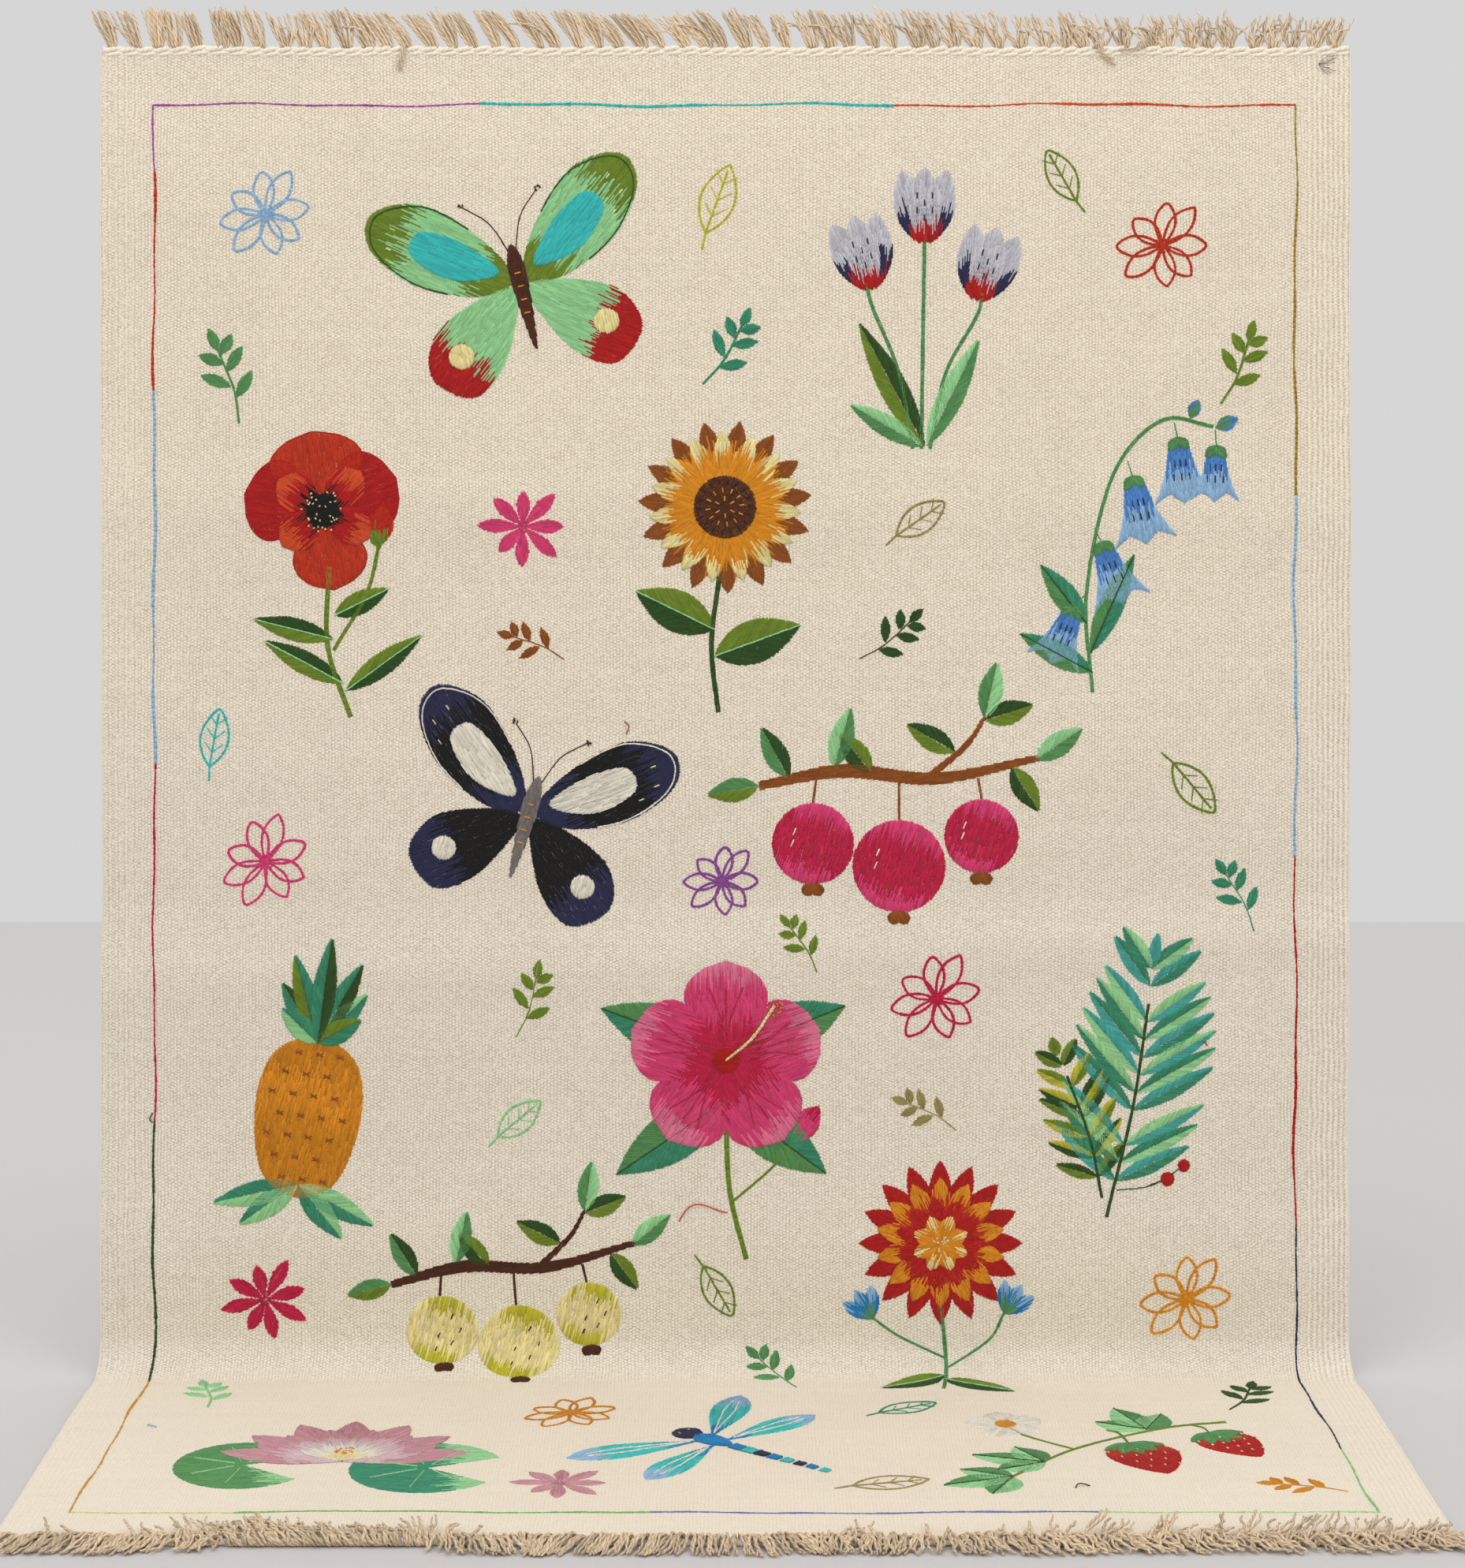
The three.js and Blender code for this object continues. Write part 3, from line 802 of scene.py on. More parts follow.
class RUG_OT_fallen_bunches(bpy.types.Operator):
    """Lets a few bunches of the top fringe fall forward over the cloth"""

    bl_idname = "rug.fallen_bunches"
    bl_label = "Fallen bunches"

    steps = 16

    def execute(self, context):
        fringe = context.scene.rug_fringe
        chance = np.random.default_rng(17)
        along = np.linspace(0, 1, self.steps)
        paths = []
        for row in FALLEN_BUNCHES:
            for number in range(row["threads"]):
                start = row["across"] + (number - row["threads"] / 2) * 1.7
                drop = row["drop"] + chance.uniform(-5, 5)
                spread = chance.uniform(-2, 2)
                across = start + (row["sideways"] + spread) * along ** 1.4
                across = across + chance.uniform(1, 2) * np.sin(along * 7)
                arch = 9 * np.sin(math.pi * np.minimum(1, along * 2.2))
                down = -3 - arch + drop * along ** 1.2
                out = CLOTH_THICKNESS + 2.2 + 3.5 * np.sin(math.pi * along) + chance.uniform(0, 2.5)
                paths.append(on_cloth(across, down, out))
        finish = yarn_finish("fallen_wool", fringe.ply_pitch, 0.42)
        shades = np.array(fringe.colour) * chance.uniform(0.85, 1.05, (len(paths), 1))
        radii = fringe.thread_radius * 0.85 * (1 - 0.3 * along ** 4)
        piece = tubes("fallen_bunches", np.stack(paths), radii, 5, finish, shades, (1, 0, 0))
        return {"FINISHED"}


class RUG_OT_floor_fringe(bpy.types.Operator):
    """Arches the warp ends of the floor edge up and over, with some turned back over the cloth"""

    bl_idname = "rug.floor_fringe"
    bl_label = "Floor fringe"

    steps = 17
    bend_share = 0.42
    landing = 0.94

    def execute(self, context):
        fringe = context.scene.rug_fringe
        locks = Locks(fringe, fringe.floor_threads, FLOOR_FRINGE, 23)
        radius = fringe.thread_radius / MM * fringe.floor_swell
        along = np.linspace(0, 1, self.steps)[None]
        spacing = fringe.lock_pitch / MM / fringe.floor_threads
        tuft = (locks.number // 3 * 3 + 1 - locks.number) * spacing
        pair = (0.5 - locks.number % 2) * spacing
        locks.across = locks.across + locks.order * spacing + locks.each(1.0)
        mess = locks.column("mess")
        lean = locks.column("lean") + locks.shared(4) + locks.each(5) + locks.each(17) * mess
        front = on_cloth(locks.across, RUG_LENGTH, 3.0)[:, 1, None] / MM
        x = locks.across[:, None] + lean[:, None] * along ** 1.1
        x = x + locks.wave(along, 0.8 + 2.2 * mess, 1.2) + locks.wave(along, 0.5 + 0.6 * mess, 3.1)

        reach = locks.column("reach") + locks.shared(3) + locks.each(3) - locks.share() * 9 * mess
        peak = 9 + 5 * locks.share() + 3 * mess * locks.share()
        top = 0.28 + locks.each(0.05)
        rising = np.sin(math.pi / 2 * np.minimum(1, along / top[:, None]))
        falling = np.clip((along - top[:, None]) / (self.landing - top[:, None]), 0, 1)
        level = radius + 3 * locks.share() + 4 * mess * locks.share()
        over_z = 4 + (peak[:, None] - 4) * rising - (peak - level)[:, None] * smooth(falling)
        over_y = front + 2 - (reach[:, None] + 2) * along ** 1.5
        looped = (locks.shared() > -0.2)[:, None]
        over_x = x + np.where(looped, pair[:, None] * smooth((along - 0.5) * 2), 0)

        turn = (4.5 + 2.5 * locks.share())[:, None]
        bend = math.pi * np.minimum(1, along / self.bend_share)
        back = np.maximum(0, along - self.bend_share) / (1 - self.bend_share)
        raised = 9 * (1 + locks.shared()) ** 2 / 2 + 3 * locks.share()
        tip = CLOTH_THICKNESS + radius + 3 + raised[:, None]
        over = radius + turn * (1 - np.cos(bend))
        back_z = over + (tip - over) * back ** 1.5 + locks.wave(along, 1.0, 1.4)
        laid = 24 + 16 * locks.share() + locks.shared(8) + 14 * (locks.share() < 0.06)
        back_y = front - 2 - turn * 1.3 * np.sin(bend) + laid[:, None] * back
        back_x = x + tuft[:, None] * 0.8 * smooth(along * 1.3)

        turned_back = (locks.share() < locks.column("back"))[:, None]
        y = np.where(turned_back, back_y, over_y) + locks.wave(along, 0.5 + 1.6 * mess, 1.1)
        z = np.where(turned_back, back_z, over_z) + locks.wave(along, 0.5 + 0.9 * mess, 2.6)
        z = np.maximum(radius * 1.25, z)
        on_top = (y > front) & (along > 0.3)
        z = np.where(on_top, np.maximum(z, CLOTH_THICKNESS + 2 + radius), z)
        x = np.where(turned_back, back_x, over_x)
        paths = np.stack(np.broadcast_arrays(x, y, z - HANG_HEIGHT), axis=-1)
        piece = locks.threads("floor_fringe_threads", paths, fringe, radius, (1, 0, 0), 0.93)
        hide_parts("floor_fringe")
        return {"FINISHED"}


# Shapes of the embroidery, in a motif's own millimetres, x to the right and y up
LOBE_STEPS = 14


def turned(points, degrees):
    """Points turned anticlockwise round the origin."""
    a = math.radians(degrees)
    points = np.asarray(points, dtype=float)
    return points @ np.array([[math.cos(a), math.sin(a)], [-math.sin(a), math.cos(a)]])


def curve(points, steps=8, closed=False):
    """A smooth line through a few points."""
    points = np.asarray(points, dtype=float)
    if closed:
        points = np.concatenate([points[-1:], points, points[:2]])
    else:
        points = np.concatenate([2 * points[:1] - points[1:2], points, 2 * points[-1:] - points[-2:-1]])
    t = np.linspace(0, 1, steps, endpoint=False)[:, None]
    pieces = []
    for p0, p1, p2, p3 in zip(points, points[1:], points[2:], points[3:]):
        bend = (2 * p0 - 5 * p1 + 4 * p2 - p3) * t * t + (3 * p1 - p0 - 3 * p2 + p3) * t ** 3
        pieces.append(0.5 * (2 * p1 + (p2 - p0) * t + bend))
    if not closed:
        pieces.append(points[-2:-1])
    return np.concatenate(pieces)


def lobe(base, length, width, degrees, fullest=0.5, blunt=0.8):
    """The outline of a petal or leaf from its base, fullest at a share of its length."""
    share = np.linspace(0, 1, LOBE_STEPS)
    power = math.log(0.5) / math.log(fullest)
    half = width / 2 * np.sin(math.pi * share ** power) ** blunt
    upper = np.stack([share * length, half], axis=-1)
    lower = np.stack([share * length, -half], axis=-1)[::-1]
    return np.asarray(base, dtype=float) + turned(np.concatenate([upper, lower[1:-1]]), degrees)


def way_at(angles):
    """Directions of length 1 at angles in radians."""
    return np.stack([np.cos(angles), np.sin(angles)], axis=-1)


def left_of(ahead):
    """Directions of length 1 to the left of others."""
    return unit(np.stack([-ahead[:, 1], ahead[:, 0]], axis=-1))


def circle(centre, radius, steps=24):
    angles = np.linspace(0, 2 * math.pi, steps, endpoint=False)
    return np.asarray(centre, dtype=float) + radius * way_at(angles)


def heading(a, b):
    """The way from one point to another, in degrees."""
    return math.degrees(math.atan2(b[1] - a[1], b[0] - a[0]))


class Needle:
    """Sews stitches in a motif's own millimetres and keeps them in the cloth's."""

    # In millimetres, but shades are shares of a dye, and row_pitch and fill_girth of the yarn's width
    shades, last_shades = (0.84, 1.14), (0.93, 1.07)
    row_pitch = 0.8
    fill_girth = 1.18
    tuck, outer_tuck = 1.8, 0.5
    shortest_run = 1.2
    ragged = 0.9
    seed_length = 3.0
    strand_gap, stem_gap = 1.5, 1.6

    def __init__(self, stitches, seed):
        self.chance = np.random.default_rng(seed)
        self.width = stitches.yarn_width / MM
        self.length = stitches.stitch_length / MM
        self.raised = stitches.raise_height / MM
        self.begins, self.ends, self.girths, self.lifts, self.dyes = [], [], [], [], []
        self.stand(0, 0)

    def stand(self, across, down, turn=0, size=1):
        """Chooses where the next motif goes."""
        self.across, self.down, self.turn, self.size = across, down, turn, size

    def to_cloth(self, points):
        points = turned(np.asarray(points, dtype=float) * self.size, self.turn)
        return np.stack([self.across + points[..., 0], self.down - points[..., 1]], axis=-1)

    def stitches(self, begins, ends, dyes, girth, lift):
        """Many stitches at once. dyes is one name or a list of them."""
        names = [dyes] * len(begins) if isinstance(dyes, str) else dyes
        self.begins.append(self.to_cloth(begins))
        self.ends.append(self.to_cloth(ends))
        self.girths.append(np.broadcast_to(girth, len(begins)))
        self.lifts.append(np.full(len(begins), lift))
        shade = self.chance.uniform(*self.shades, (len(names), 1))
        self.dyes.append(np.array([linear(DYES[name]) for name in names]) * shade)

    def fill(self, outline, degrees, dyes, lift=0.0):
        """Fills an outline with rows of stitches at an angle, in one dye or shading through several."""
        dyes = [dyes] if isinstance(dyes, str) else list(dyes)
        flat = turned(outline, -degrees)
        low, high = flat[:, 0].min(), flat[:, 0].max()
        pitch = self.width * self.row_pitch / self.size
        tuck = self.tuck / self.size
        length = self.length / self.size
        after = np.roll(flat, -1, axis=0)
        begins, ends, names = [], [], []
        rows = np.arange(flat[:, 1].min() + pitch / 2, flat[:, 1].max(), pitch)
        for number, row in enumerate(rows):
            meets = (flat[:, 1] <= row) != (after[:, 1] <= row)
            a, b = flat[meets], after[meets]
            crossings = np.sort(a[:, 0] + (row - a[:, 1]) * (b[:, 0] - a[:, 0]) / (b[:, 1] - a[:, 1]))
            for left, right in zip(crossings[::2], crossings[1::2]):
                if right - left < self.shortest_run:
                    continue
                left += self.chance.uniform(-self.ragged, self.ragged * 0.3)
                right += self.chance.uniform(-self.ragged * 0.3, self.ragged)
                stagger = number % 2 * 2 - 1
                count = max(1, round((right - left) / length + 0.25 * stagger))
                cuts = np.linspace(left, right, count + 1)
                if count > 1:
                    cuts[1:-1] += self.chance.uniform(-0.3, 0.3, count - 1) * length
                    cuts[1:-1] += 0.22 * length * stagger
                for start, stop in zip(cuts[:-1], cuts[1:]):
                    slope = self.chance.uniform(-0.2, 0.2)
                    begins.append((start - (tuck if start > left else self.outer_tuck), row - slope))
                    ends.append((stop + (tuck if stop < right else self.outer_tuck), row + slope))
                    share = ((start + stop) / 2 - low) / max(high - low, 1e-6)
                    share += self.chance.uniform(-0.09, 0.09)
                    names.append(dyes[int(np.clip(share * len(dyes), 0, len(dyes) - 1))])
        if begins:
            self.stitches(turned(begins, degrees), turned(ends, degrees), names, self.fill_girth, lift)

    def line(self, points, dye, closed=False, link=5.5, girth=1.2, lift=0.0, strands=2, uneven=0.08):
        """A chain-stitched line: links of two stitches that spread and close again, thicker and thinner."""
        points = np.asarray(points, dtype=float)
        if closed:
            points = np.concatenate([points, points[:1]])
        lengths = np.linalg.norm(np.diff(points, axis=0), axis=1)
        reached = np.concatenate([[0], np.cumsum(lengths)])
        count = max(1, round(reached[-1] * self.size / link))
        at = np.linspace(0, reached[-1], count + 1)
        joints = np.stack([np.interp(at, reached, points[:, i]) for i in range(2)], axis=-1)
        ahead = joints[1:] - joints[:-1]
        normal = left_of(ahead) / self.size
        drift = np.cumsum(self.chance.normal(0, 0.35, count))
        girth = girth * (1 + uneven * np.sin(drift + self.chance.uniform(0, 6)))
        for strand in range(strands):
            side = (strand - (strands - 1) / 2) * self.strand_gap * girth[:, None]
            wobble = self.chance.uniform(-0.2, 0.2, (count, 1)) * (1 + 2 * uneven)
            begins = joints[:-1] - ahead * 0.16 + normal * (side * 0.35 + wobble)
            ends = joints[1:] + ahead * 0.1 + normal * (side * 1.05 + wobble)
            self.stitches(begins, ends, dye, girth, lift + 0.25 * (strand % 2))

    def seeds(self, centre, radius, dye, count, lift=0.9):
        """A heap of short stitches in all directions, such as knots in a flower's heart."""
        angle = self.chance.uniform(0, 2 * math.pi, count)
        far = radius * np.sqrt(self.chance.random(count))
        middles = np.asarray(centre) + far[:, None] * way_at(angle)
        half = way_at(self.chance.uniform(0, math.pi, count)) * self.seed_length / 2 / self.size
        self.stitches(middles - half, middles + half, dye, 1.1, lift)

    def dashes(self, places, degrees, dye, long=9.0, lift=1.0):
        """Short straight stitches laid over a filled shape."""
        places = np.atleast_2d(np.asarray(places, dtype=float))
        half = turned([(long / 2 / self.size, 0)], degrees)
        self.stitches(places - half, places + half, dye, 1.05, lift)

    def petal(self, base, length, width, degrees, dyes, fullest=0.5, blunt=0.8, lift=0.0):
        """A petal or small leaf in stitches that run along it."""
        self.fill(lobe(base, length, width, degrees, fullest, blunt), degrees, dyes, lift)

    def leaf(self, base, length, width, degrees, dyes, vein=None, lift=0.0):
        """A leaf in two halves of slanting stitches that meet at its midrib."""
        near, far = (dyes, dyes) if isinstance(dyes, str) else dyes
        outline = lobe(base, length, width, degrees, 0.46, 0.85)
        tip = len(outline) // 2
        self.fill(outline[:tip + 1], degrees + 32, near, lift)
        self.fill(np.concatenate([outline[tip:], outline[:1]]), degrees - 32, far, lift)
        if vein:
            self.line([outline[0], outline[tip]], vein, lift=lift + 0.8, strands=1)

    def stem(self, points, dye, width, lift=0.0):
        """A stem of stitched lines side by side."""
        points = curve(points)
        normal = left_of(np.gradient(points, axis=0))
        strands = max(1, round(width * self.size / 1.7))
        for strand in range(strands):
            offset = (strand - (strands - 1) / 2) * self.stem_gap / self.size
            self.line(points + normal * offset, dye, link=9, strands=1, lift=lift)

    def twig(self, points, widths, dye):
        """A branch as a filled band along a line, with a width at each of its points."""
        middle = curve(points)
        share = np.linspace(0, 1, len(middle))
        half = np.interp(share, np.linspace(0, 1, len(widths)), widths) / 2
        normal = left_of(np.gradient(middle, axis=0)) * half[:, None]
        band = np.concatenate([middle + normal, (middle - normal)[::-1]])
        self.fill(band, heading(middle[0], middle[-1]), dye)

    def piece(self, name, finish):
        """All the stitches so far as one object."""
        begins, ends = np.concatenate(self.begins), np.concatenate(self.ends)
        girths, lifts = np.concatenate(self.girths), np.concatenate(self.lifts)
        dyes = np.concatenate(self.dyes)
        count = len(begins)
        shape, faces = stitch_template()
        middle, half = (begins + ends) / 2, (ends - begins) / 2
        sideways = left_of(half)
        half_width = self.width / 2 * girths * self.chance.uniform(1.0, 1.2, count)
        height = self.raised * girths * self.chance.uniform(0.85, 1.15, count)
        flat = middle[:, None] + half[:, None] * shape[None, :, 2, None]
        flat = flat + sideways[:, None] * (half_width[:, None] * shape[:, 0])[..., None]
        # The ends of a stitch dip into the cloth
        out = CLOTH_THICKNESS + (lifts + self.chance.uniform(-0.12, 0.12, count))[:, None]
        out = out + height[:, None] * np.maximum(shape[:, 1], -0.3) - 0.35 * np.abs(shape[:, 2]) ** 6
        points = on_cloth(flat[..., 0], flat[..., 1], out)
        reach = np.linalg.norm(half, axis=-1)[:, None] * shape[:, 2] * MM
        dyes = dyes * self.chance.uniform(*self.last_shades, (count, 1))
        piece = joined_mesh(name, points, faces, finish, dyes, reach, shape)
        return piece


# Large motifs
def butterfly(needle, main, second, tip, inside, spot, rim, body):
    """Open wings that shade to their tips, each with a spot, on a body with feelers."""
    upper = curve([(5, 8), (22, 48), (66, 92), (112, 96), (122, 66), (92, 26), (40, 2)], 6, True)
    lower = curve([(5, 2), (44, -2), (84, -22), (96, -58), (66, -84), (34, -66), (12, -28)], 6, True)
    inner = curve([(16, 18), (40, 50), (74, 70), (88, 52), (58, 22)], 6, True)
    for side, tilt in ((1, 38), (-1, 142)):
        mirror = np.array([side, 1.0])
        needle.fill(upper * mirror, tilt, [second, main, main, second])
        needle.fill(lower * mirror, -tilt, [main, main, tip])
        needle.fill(inner * mirror, tilt, inside, lift=0.8)
        needle.fill(circle((66 * side, -46), 11), 90, spot, lift=0.9)
        needle.line(upper[8:34] * mirror * 0.97, rim, lift=0.9, strands=1)
        needle.dashes(np.array([(98, 78), (106, 62), (96, 46)]) * mirror, tilt, "butter", 8)
        needle.line(curve([(2 * side, 30), (14 * side, 62), (34 * side, 82)]), "bark", strands=1)
        needle.seeds((35 * side, 83), 2.5, "bark", 6)
    trunk = curve([(0, 40), (7, 22), (6, -12), (0, -56), (-6, -12), (-7, 22)], 5, True)
    needle.fill(trunk, 90, body, lift=1.2)
    needle.dashes([(0, 14), (0, 2), (0, -10), (0, -22)], 0, "orange", 9, lift=2.2)


def tulips(needle, main, second, third):
    """Three cupped flowers on tall stems, with long leaves."""
    for x, height, tilt in ((-58, 42, 14), (4, 92, 0), (66, 30, -16)):
        top = np.array([x, height])
        needle.stem([(x * 0.15, -150), (x * 0.4, -70), (x * 0.9, height - 40), (x, height - 14)], "leaf", 4)
        for offset, direction in ((-13, 104), (13, 76), (0, 90)):
            base = top + turned([(offset * 0.35, -24)], tilt)[0]
            shade = [third, main, main, main] if offset == 0 else [third, second, main, main]
            needle.petal(base, 82, 36, direction + tilt, shade, 0.5, 0.75, lift=0.5 * (offset == 0))
        for step in (-8, 0, 8):
            places = [top + turned([(step, y)], tilt)[0] for y in (4 + abs(step), 20 + abs(step))]
            needle.dashes(places, 90 + tilt, second, 9, lift=1.5)
    needle.leaf((4, -148), 150, 30, 118, ("olive", "forest"))
    needle.leaf((6, -148), 128, 28, 64, ("mint", "leaf"))
    needle.leaf((2, -148), 90, 24, 150, ("leaf", "mint"))


def poppy(needle, main, second, third):
    """One wide flower with a dark heart, a bud and narrow leaves."""
    needle.stem([(10, -165), (-6, -90), (4, -10)], third, 5)
    needle.stem([(0, -95), (40, -40), (58, 10)], third, 3.5)
    for degrees, width, shade in ((18, 84, second), (162, 84, second), (92, 96, main), (-88, 76, main)):
        outline = lobe((4, 48), 82, width, degrees, 0.62, 0.6)
        needle.fill(outline, degrees, shade)
        needle.line(outline, second, closed=True, girth=0.9, lift=0.4, strands=1)
    for degrees in (40, 140, 215, 325):
        needle.petal((4, 48), 56, 40, degrees, ["black", second, "flame"], 0.6, 0.7, lift=0.9)
    needle.fill(circle((4, 48), 17), 20, "black", 1.8)
    needle.seeds((4, 48), 22, "butter", 34, lift=2.6)
    needle.petal((58, 6), 42, 24, 78, [third, main, main])
    needle.leaf((58, 4), 20, 10, 110, third, lift=0.9)
    leaves = (((0, -84), 84, 160), ((4, -60), 62, 20), ((6, -130), 92, 146), ((8, -138), 96, 30))
    for base, length, degrees in leaves:
        needle.leaf(base, length, 24, degrees, (third, "forest"), "mint")


def sunflower(needle, main, second, third):
    """Two rings of petals round a seeded heart, on a stem with broad leaves."""
    needle.stem([(8, -170), (-4, -100), (0, -20)], third, 6)
    for degrees in range(12, 360, 24):
        needle.petal((0, 45), 92, 25, degrees, [second, second, "brown"], 0.6)
    for degrees in range(0, 360, 24):
        needle.petal((0, 45), 80, 23, degrees, ["brown", main, main, "butter"], 0.6, lift=0.8)
    needle.fill(circle((0, 45), 33), 30, "bark", 1.5)
    for ring, count in ((9, 6), (18, 12), (27, 18)):
        angles = np.arange(count) * 2 * math.pi / count + ring
        for place, angle in zip((0, 45) + ring * way_at(angles), angles):
            needle.dashes([place], math.degrees(angle), "orange" if ring < 20 else "black", 7, 2.4)
    needle.leaf((-2, -84), 92, 44, 158, (third, "olive"), "mint")
    needle.leaf((0, -112), 96, 46, 24, ("olive", third), "mint")


def bellflower(needle, main, second, third):
    """An arching stem of hanging bells with a few buds."""
    arch = [(-40, -160), (-46, -60), (-20, 60), (30, 118), (84, 112)]
    needle.stem(arch, third, 4.5)
    mouth = np.array([(0, 0), (10, 11), (34, 16), (58, 26), (66, 31), (57, 14), (68, 0)], dtype=float)
    mouth = np.concatenate([mouth, mouth[5:0:-1] * (1, -1)])
    bells = (
        (-38, 8, -70, 1.0), (-4, 76, -78, 1.05), (44, 116, -84, 1.0), (86, 108, -92, 0.85),
        (-47, -60, -112, 0.95),
    )
    for x, y, degrees, size in bells:
        hang = np.array([x, y]) + turned([(16, 0)], degrees + (6 if x > -40 else -20))[0]
        needle.line([(x, y), hang], third, strands=1)
        needle.fill(hang + turned(mouth * size, degrees), degrees, [main, main, second, second])
        for offset in (-8, 0, 8):
            veins = hang + turned([(40 * size, offset), (26 * size, offset * 0.7)], degrees)
            needle.dashes(veins, degrees, "navy", 10, 1.0)
        needle.leaf(hang, 16, 10, degrees + 40, third, lift=0.9)
        needle.leaf(hang, 16, 10, degrees - 40, third, lift=0.9)
    needle.petal((86, 110), 26, 15, 24, [third, main])
    needle.petal((60, 120), 22, 13, 66, [third, main])
    for base, length, degrees in (((-42, -120), 110, 66), ((-40, -140), 84, 152), ((-46, -90), 76, 128)):
        needle.leaf(base, length, 26, degrees, (third, "teal"), "forest")


def fruit_branch(needle, main, second, third):
    """A bough with three round fruits hanging among leaves."""
    needle.twig([(-150, 48), (-60, 64), (40, 56), (150, 78)], [9, 15, 13, 7], third)
    needle.twig([(30, 56), (72, 92), (92, 122)], [8, 6, 4], third)
    for base, length, degrees, shade in (
        ((-118, 56), 62, 118, ("leaf", "forest")), ((-70, 68), 66, 74, ("mint", "leaf")),
        ((-30, 62), 54, 128, ("forest", "olive")), ((60, 84), 60, 150, ("olive", "forest")),
        ((92, 120), 62, 78, ("leaf", "mint")), ((92, 118), 54, 18, ("forest", "olive")),
        ((146, 76), 60, 34, ("mint", "leaf")), ((120, 68), 56, -58, ("olive", "forest")),
        ((-150, 48), 56, 190, ("olive", "leaf")),
    ):
        needle.leaf(base, length, 26, degrees, shade)
    for x, y, radius in ((-92, -14, 44), (0, -38, 50), (88, -6, 40)):
        needle.stem([(x * 0.96, 56), (x, y + radius)], third, 3)
        needle.fill(circle((x, y), radius), 72, [second, main, main, main, second])
        needle.petal((x, y - radius + 3), 17, 13, -58, third, 0.6, lift=0.6)
        needle.petal((x, y - radius + 3), 17, 13, -122, third, 0.6, lift=0.6)
        shine = [(x - radius * 0.45, y + radius * 0.3), (x - radius * 0.5, y + radius * 0.02)]
        needle.dashes(shine, 66, "white", 11)
        marks = ((0.3, 0.4), (0.5, 0), (0.25, -0.35), (-0.1, -0.1), (-0.2, -0.5))
        needle.dashes([(x + radius * u, y + radius * v) for u, v in marks], 60, third, 8)


def pineapple(needle, main, second, third):
    """A crowned fruit with rows of dashes, and leaves at its foot."""
    right = [(0, 44), (44, 22), (56, -36), (40, -104)]
    left = [(0, -126), (-40, -104), (-56, -36), (-44, 22)]
    body = curve(right + left, 7, True)
    needle.fill(body, 84, [main, main, "orange", main])
    for row in range(7):
        y = 26 - row * 22
        reach = 46 * math.sqrt(max(0.1, 1 - ((y + 40) / 92) ** 2))
        for x in np.arange(-40 + (row % 2) * 11, 41, 22):
            if abs(x) < reach - 4:
                needle.dashes([(x, y)], 28, "brown", 11)
                needle.dashes([(x, y)], -28, "brown", 11, 1.6)
    crown = ((128, 74), (52, 74), (112, 96), (68, 96), (144, 52), (36, 52), (90, 112))
    for number, (degrees, length) in enumerate(crown):
        shades = ((second, "forest"), (third, second), ("olive", second))[number % 3]
        needle.leaf((0, 38), length, 24, degrees, shades, lift=0.25 * number)
    for degrees, length in ((200, 92), (340, 92), (222, 74), (318, 74)):
        needle.leaf((0, -112), length, 26, degrees, (third, second))


def hibiscus(needle, main, second, third):
    """Five broad petals with veins, a long pistil, a bud and broad leaves."""
    leaves = (((0, -20), 130, 214), ((0, -20), 122, -36), ((-10, 30), 120, 160), ((10, 30), 116, 22))
    for base, length, degrees in leaves:
        needle.leaf(base, length, 50, degrees, (third, "leaf"), "forest")
    needle.stem([(20, -175), (4, -110), (0, -40)], "olive", 5)
    for number in range(5):
        degrees = 90 + number * 72
        outline = lobe((0, 20), 98, 82, degrees, 0.64, 0.6)
        needle.fill(outline, degrees, [second, second, main, main, "candy"], 0.7 + 0.35 * (number % 2))
        for fan in (-17, 0, 17):
            vein = np.array([(26, 0), (50, fan * 0.45), (72, fan)])
            needle.line((0, 20) + turned(vein, degrees), second, lift=1.9, strands=1)
    needle.fill(circle((0, 20), 13), 0, "red", 2.0)
    needle.line(curve([(0, 20), (26, 42), (48, 74)]), "butter", lift=2.6)
    needle.seeds((48, 72), 9, "orange", 22, lift=3.0)
    needle.stem([(6, -120), (48, -84), (66, -60)], "olive", 3)
    needle.petal((64, -62), 46, 26, 52, ["leaf", main, second])


def fern(needle, main, second, third):
    """A long frond whose leaflets shorten towards its tip, a smaller one and two berries."""
    for base, tip, count, long, shades in (
        ((0, -170), (10, 150), 11, 104, (main, second, third)),
        ((-8, -150), (-92, 20), 7, 56, ("olive", "forest", "lime")),
    ):
        base, tip = np.array(base, dtype=float), np.array(tip, dtype=float)
        spine = curve([base, (base + tip) / 2 + (10, 0), tip])
        way = heading(base, tip)
        for number in range(count):
            share = 0.16 + 0.8 * number / count
            root = spine[int(share * (len(spine) - 1))]
            length = long * math.sin(math.pi * (0.22 + 0.7 * share)) ** 0.8
            for side in (-1, 1):
                shade = (shades[number % 3], shades[(number + 1) % 3])
                needle.leaf(root, length, 20 if long > 80 else 15, way + side * (58 - 16 * share), shade)
        needle.leaf(spine[-3], long * 0.4, 14, way, shades[0])
        needle.stem(spine[::6], "forest", 3, lift=0.8)
    needle.fill(circle((62, -120), 7.5), 20, "red", 0.6)
    needle.fill(circle((78, -103), 6.5), 20, "red", 0.6)
    needle.line(curve([(8, -140), (40, -132), (60, -120)]), "forest", strands=1)
    needle.line(curve([(40, -132), (62, -118), (76, -104)]), "forest", strands=1)


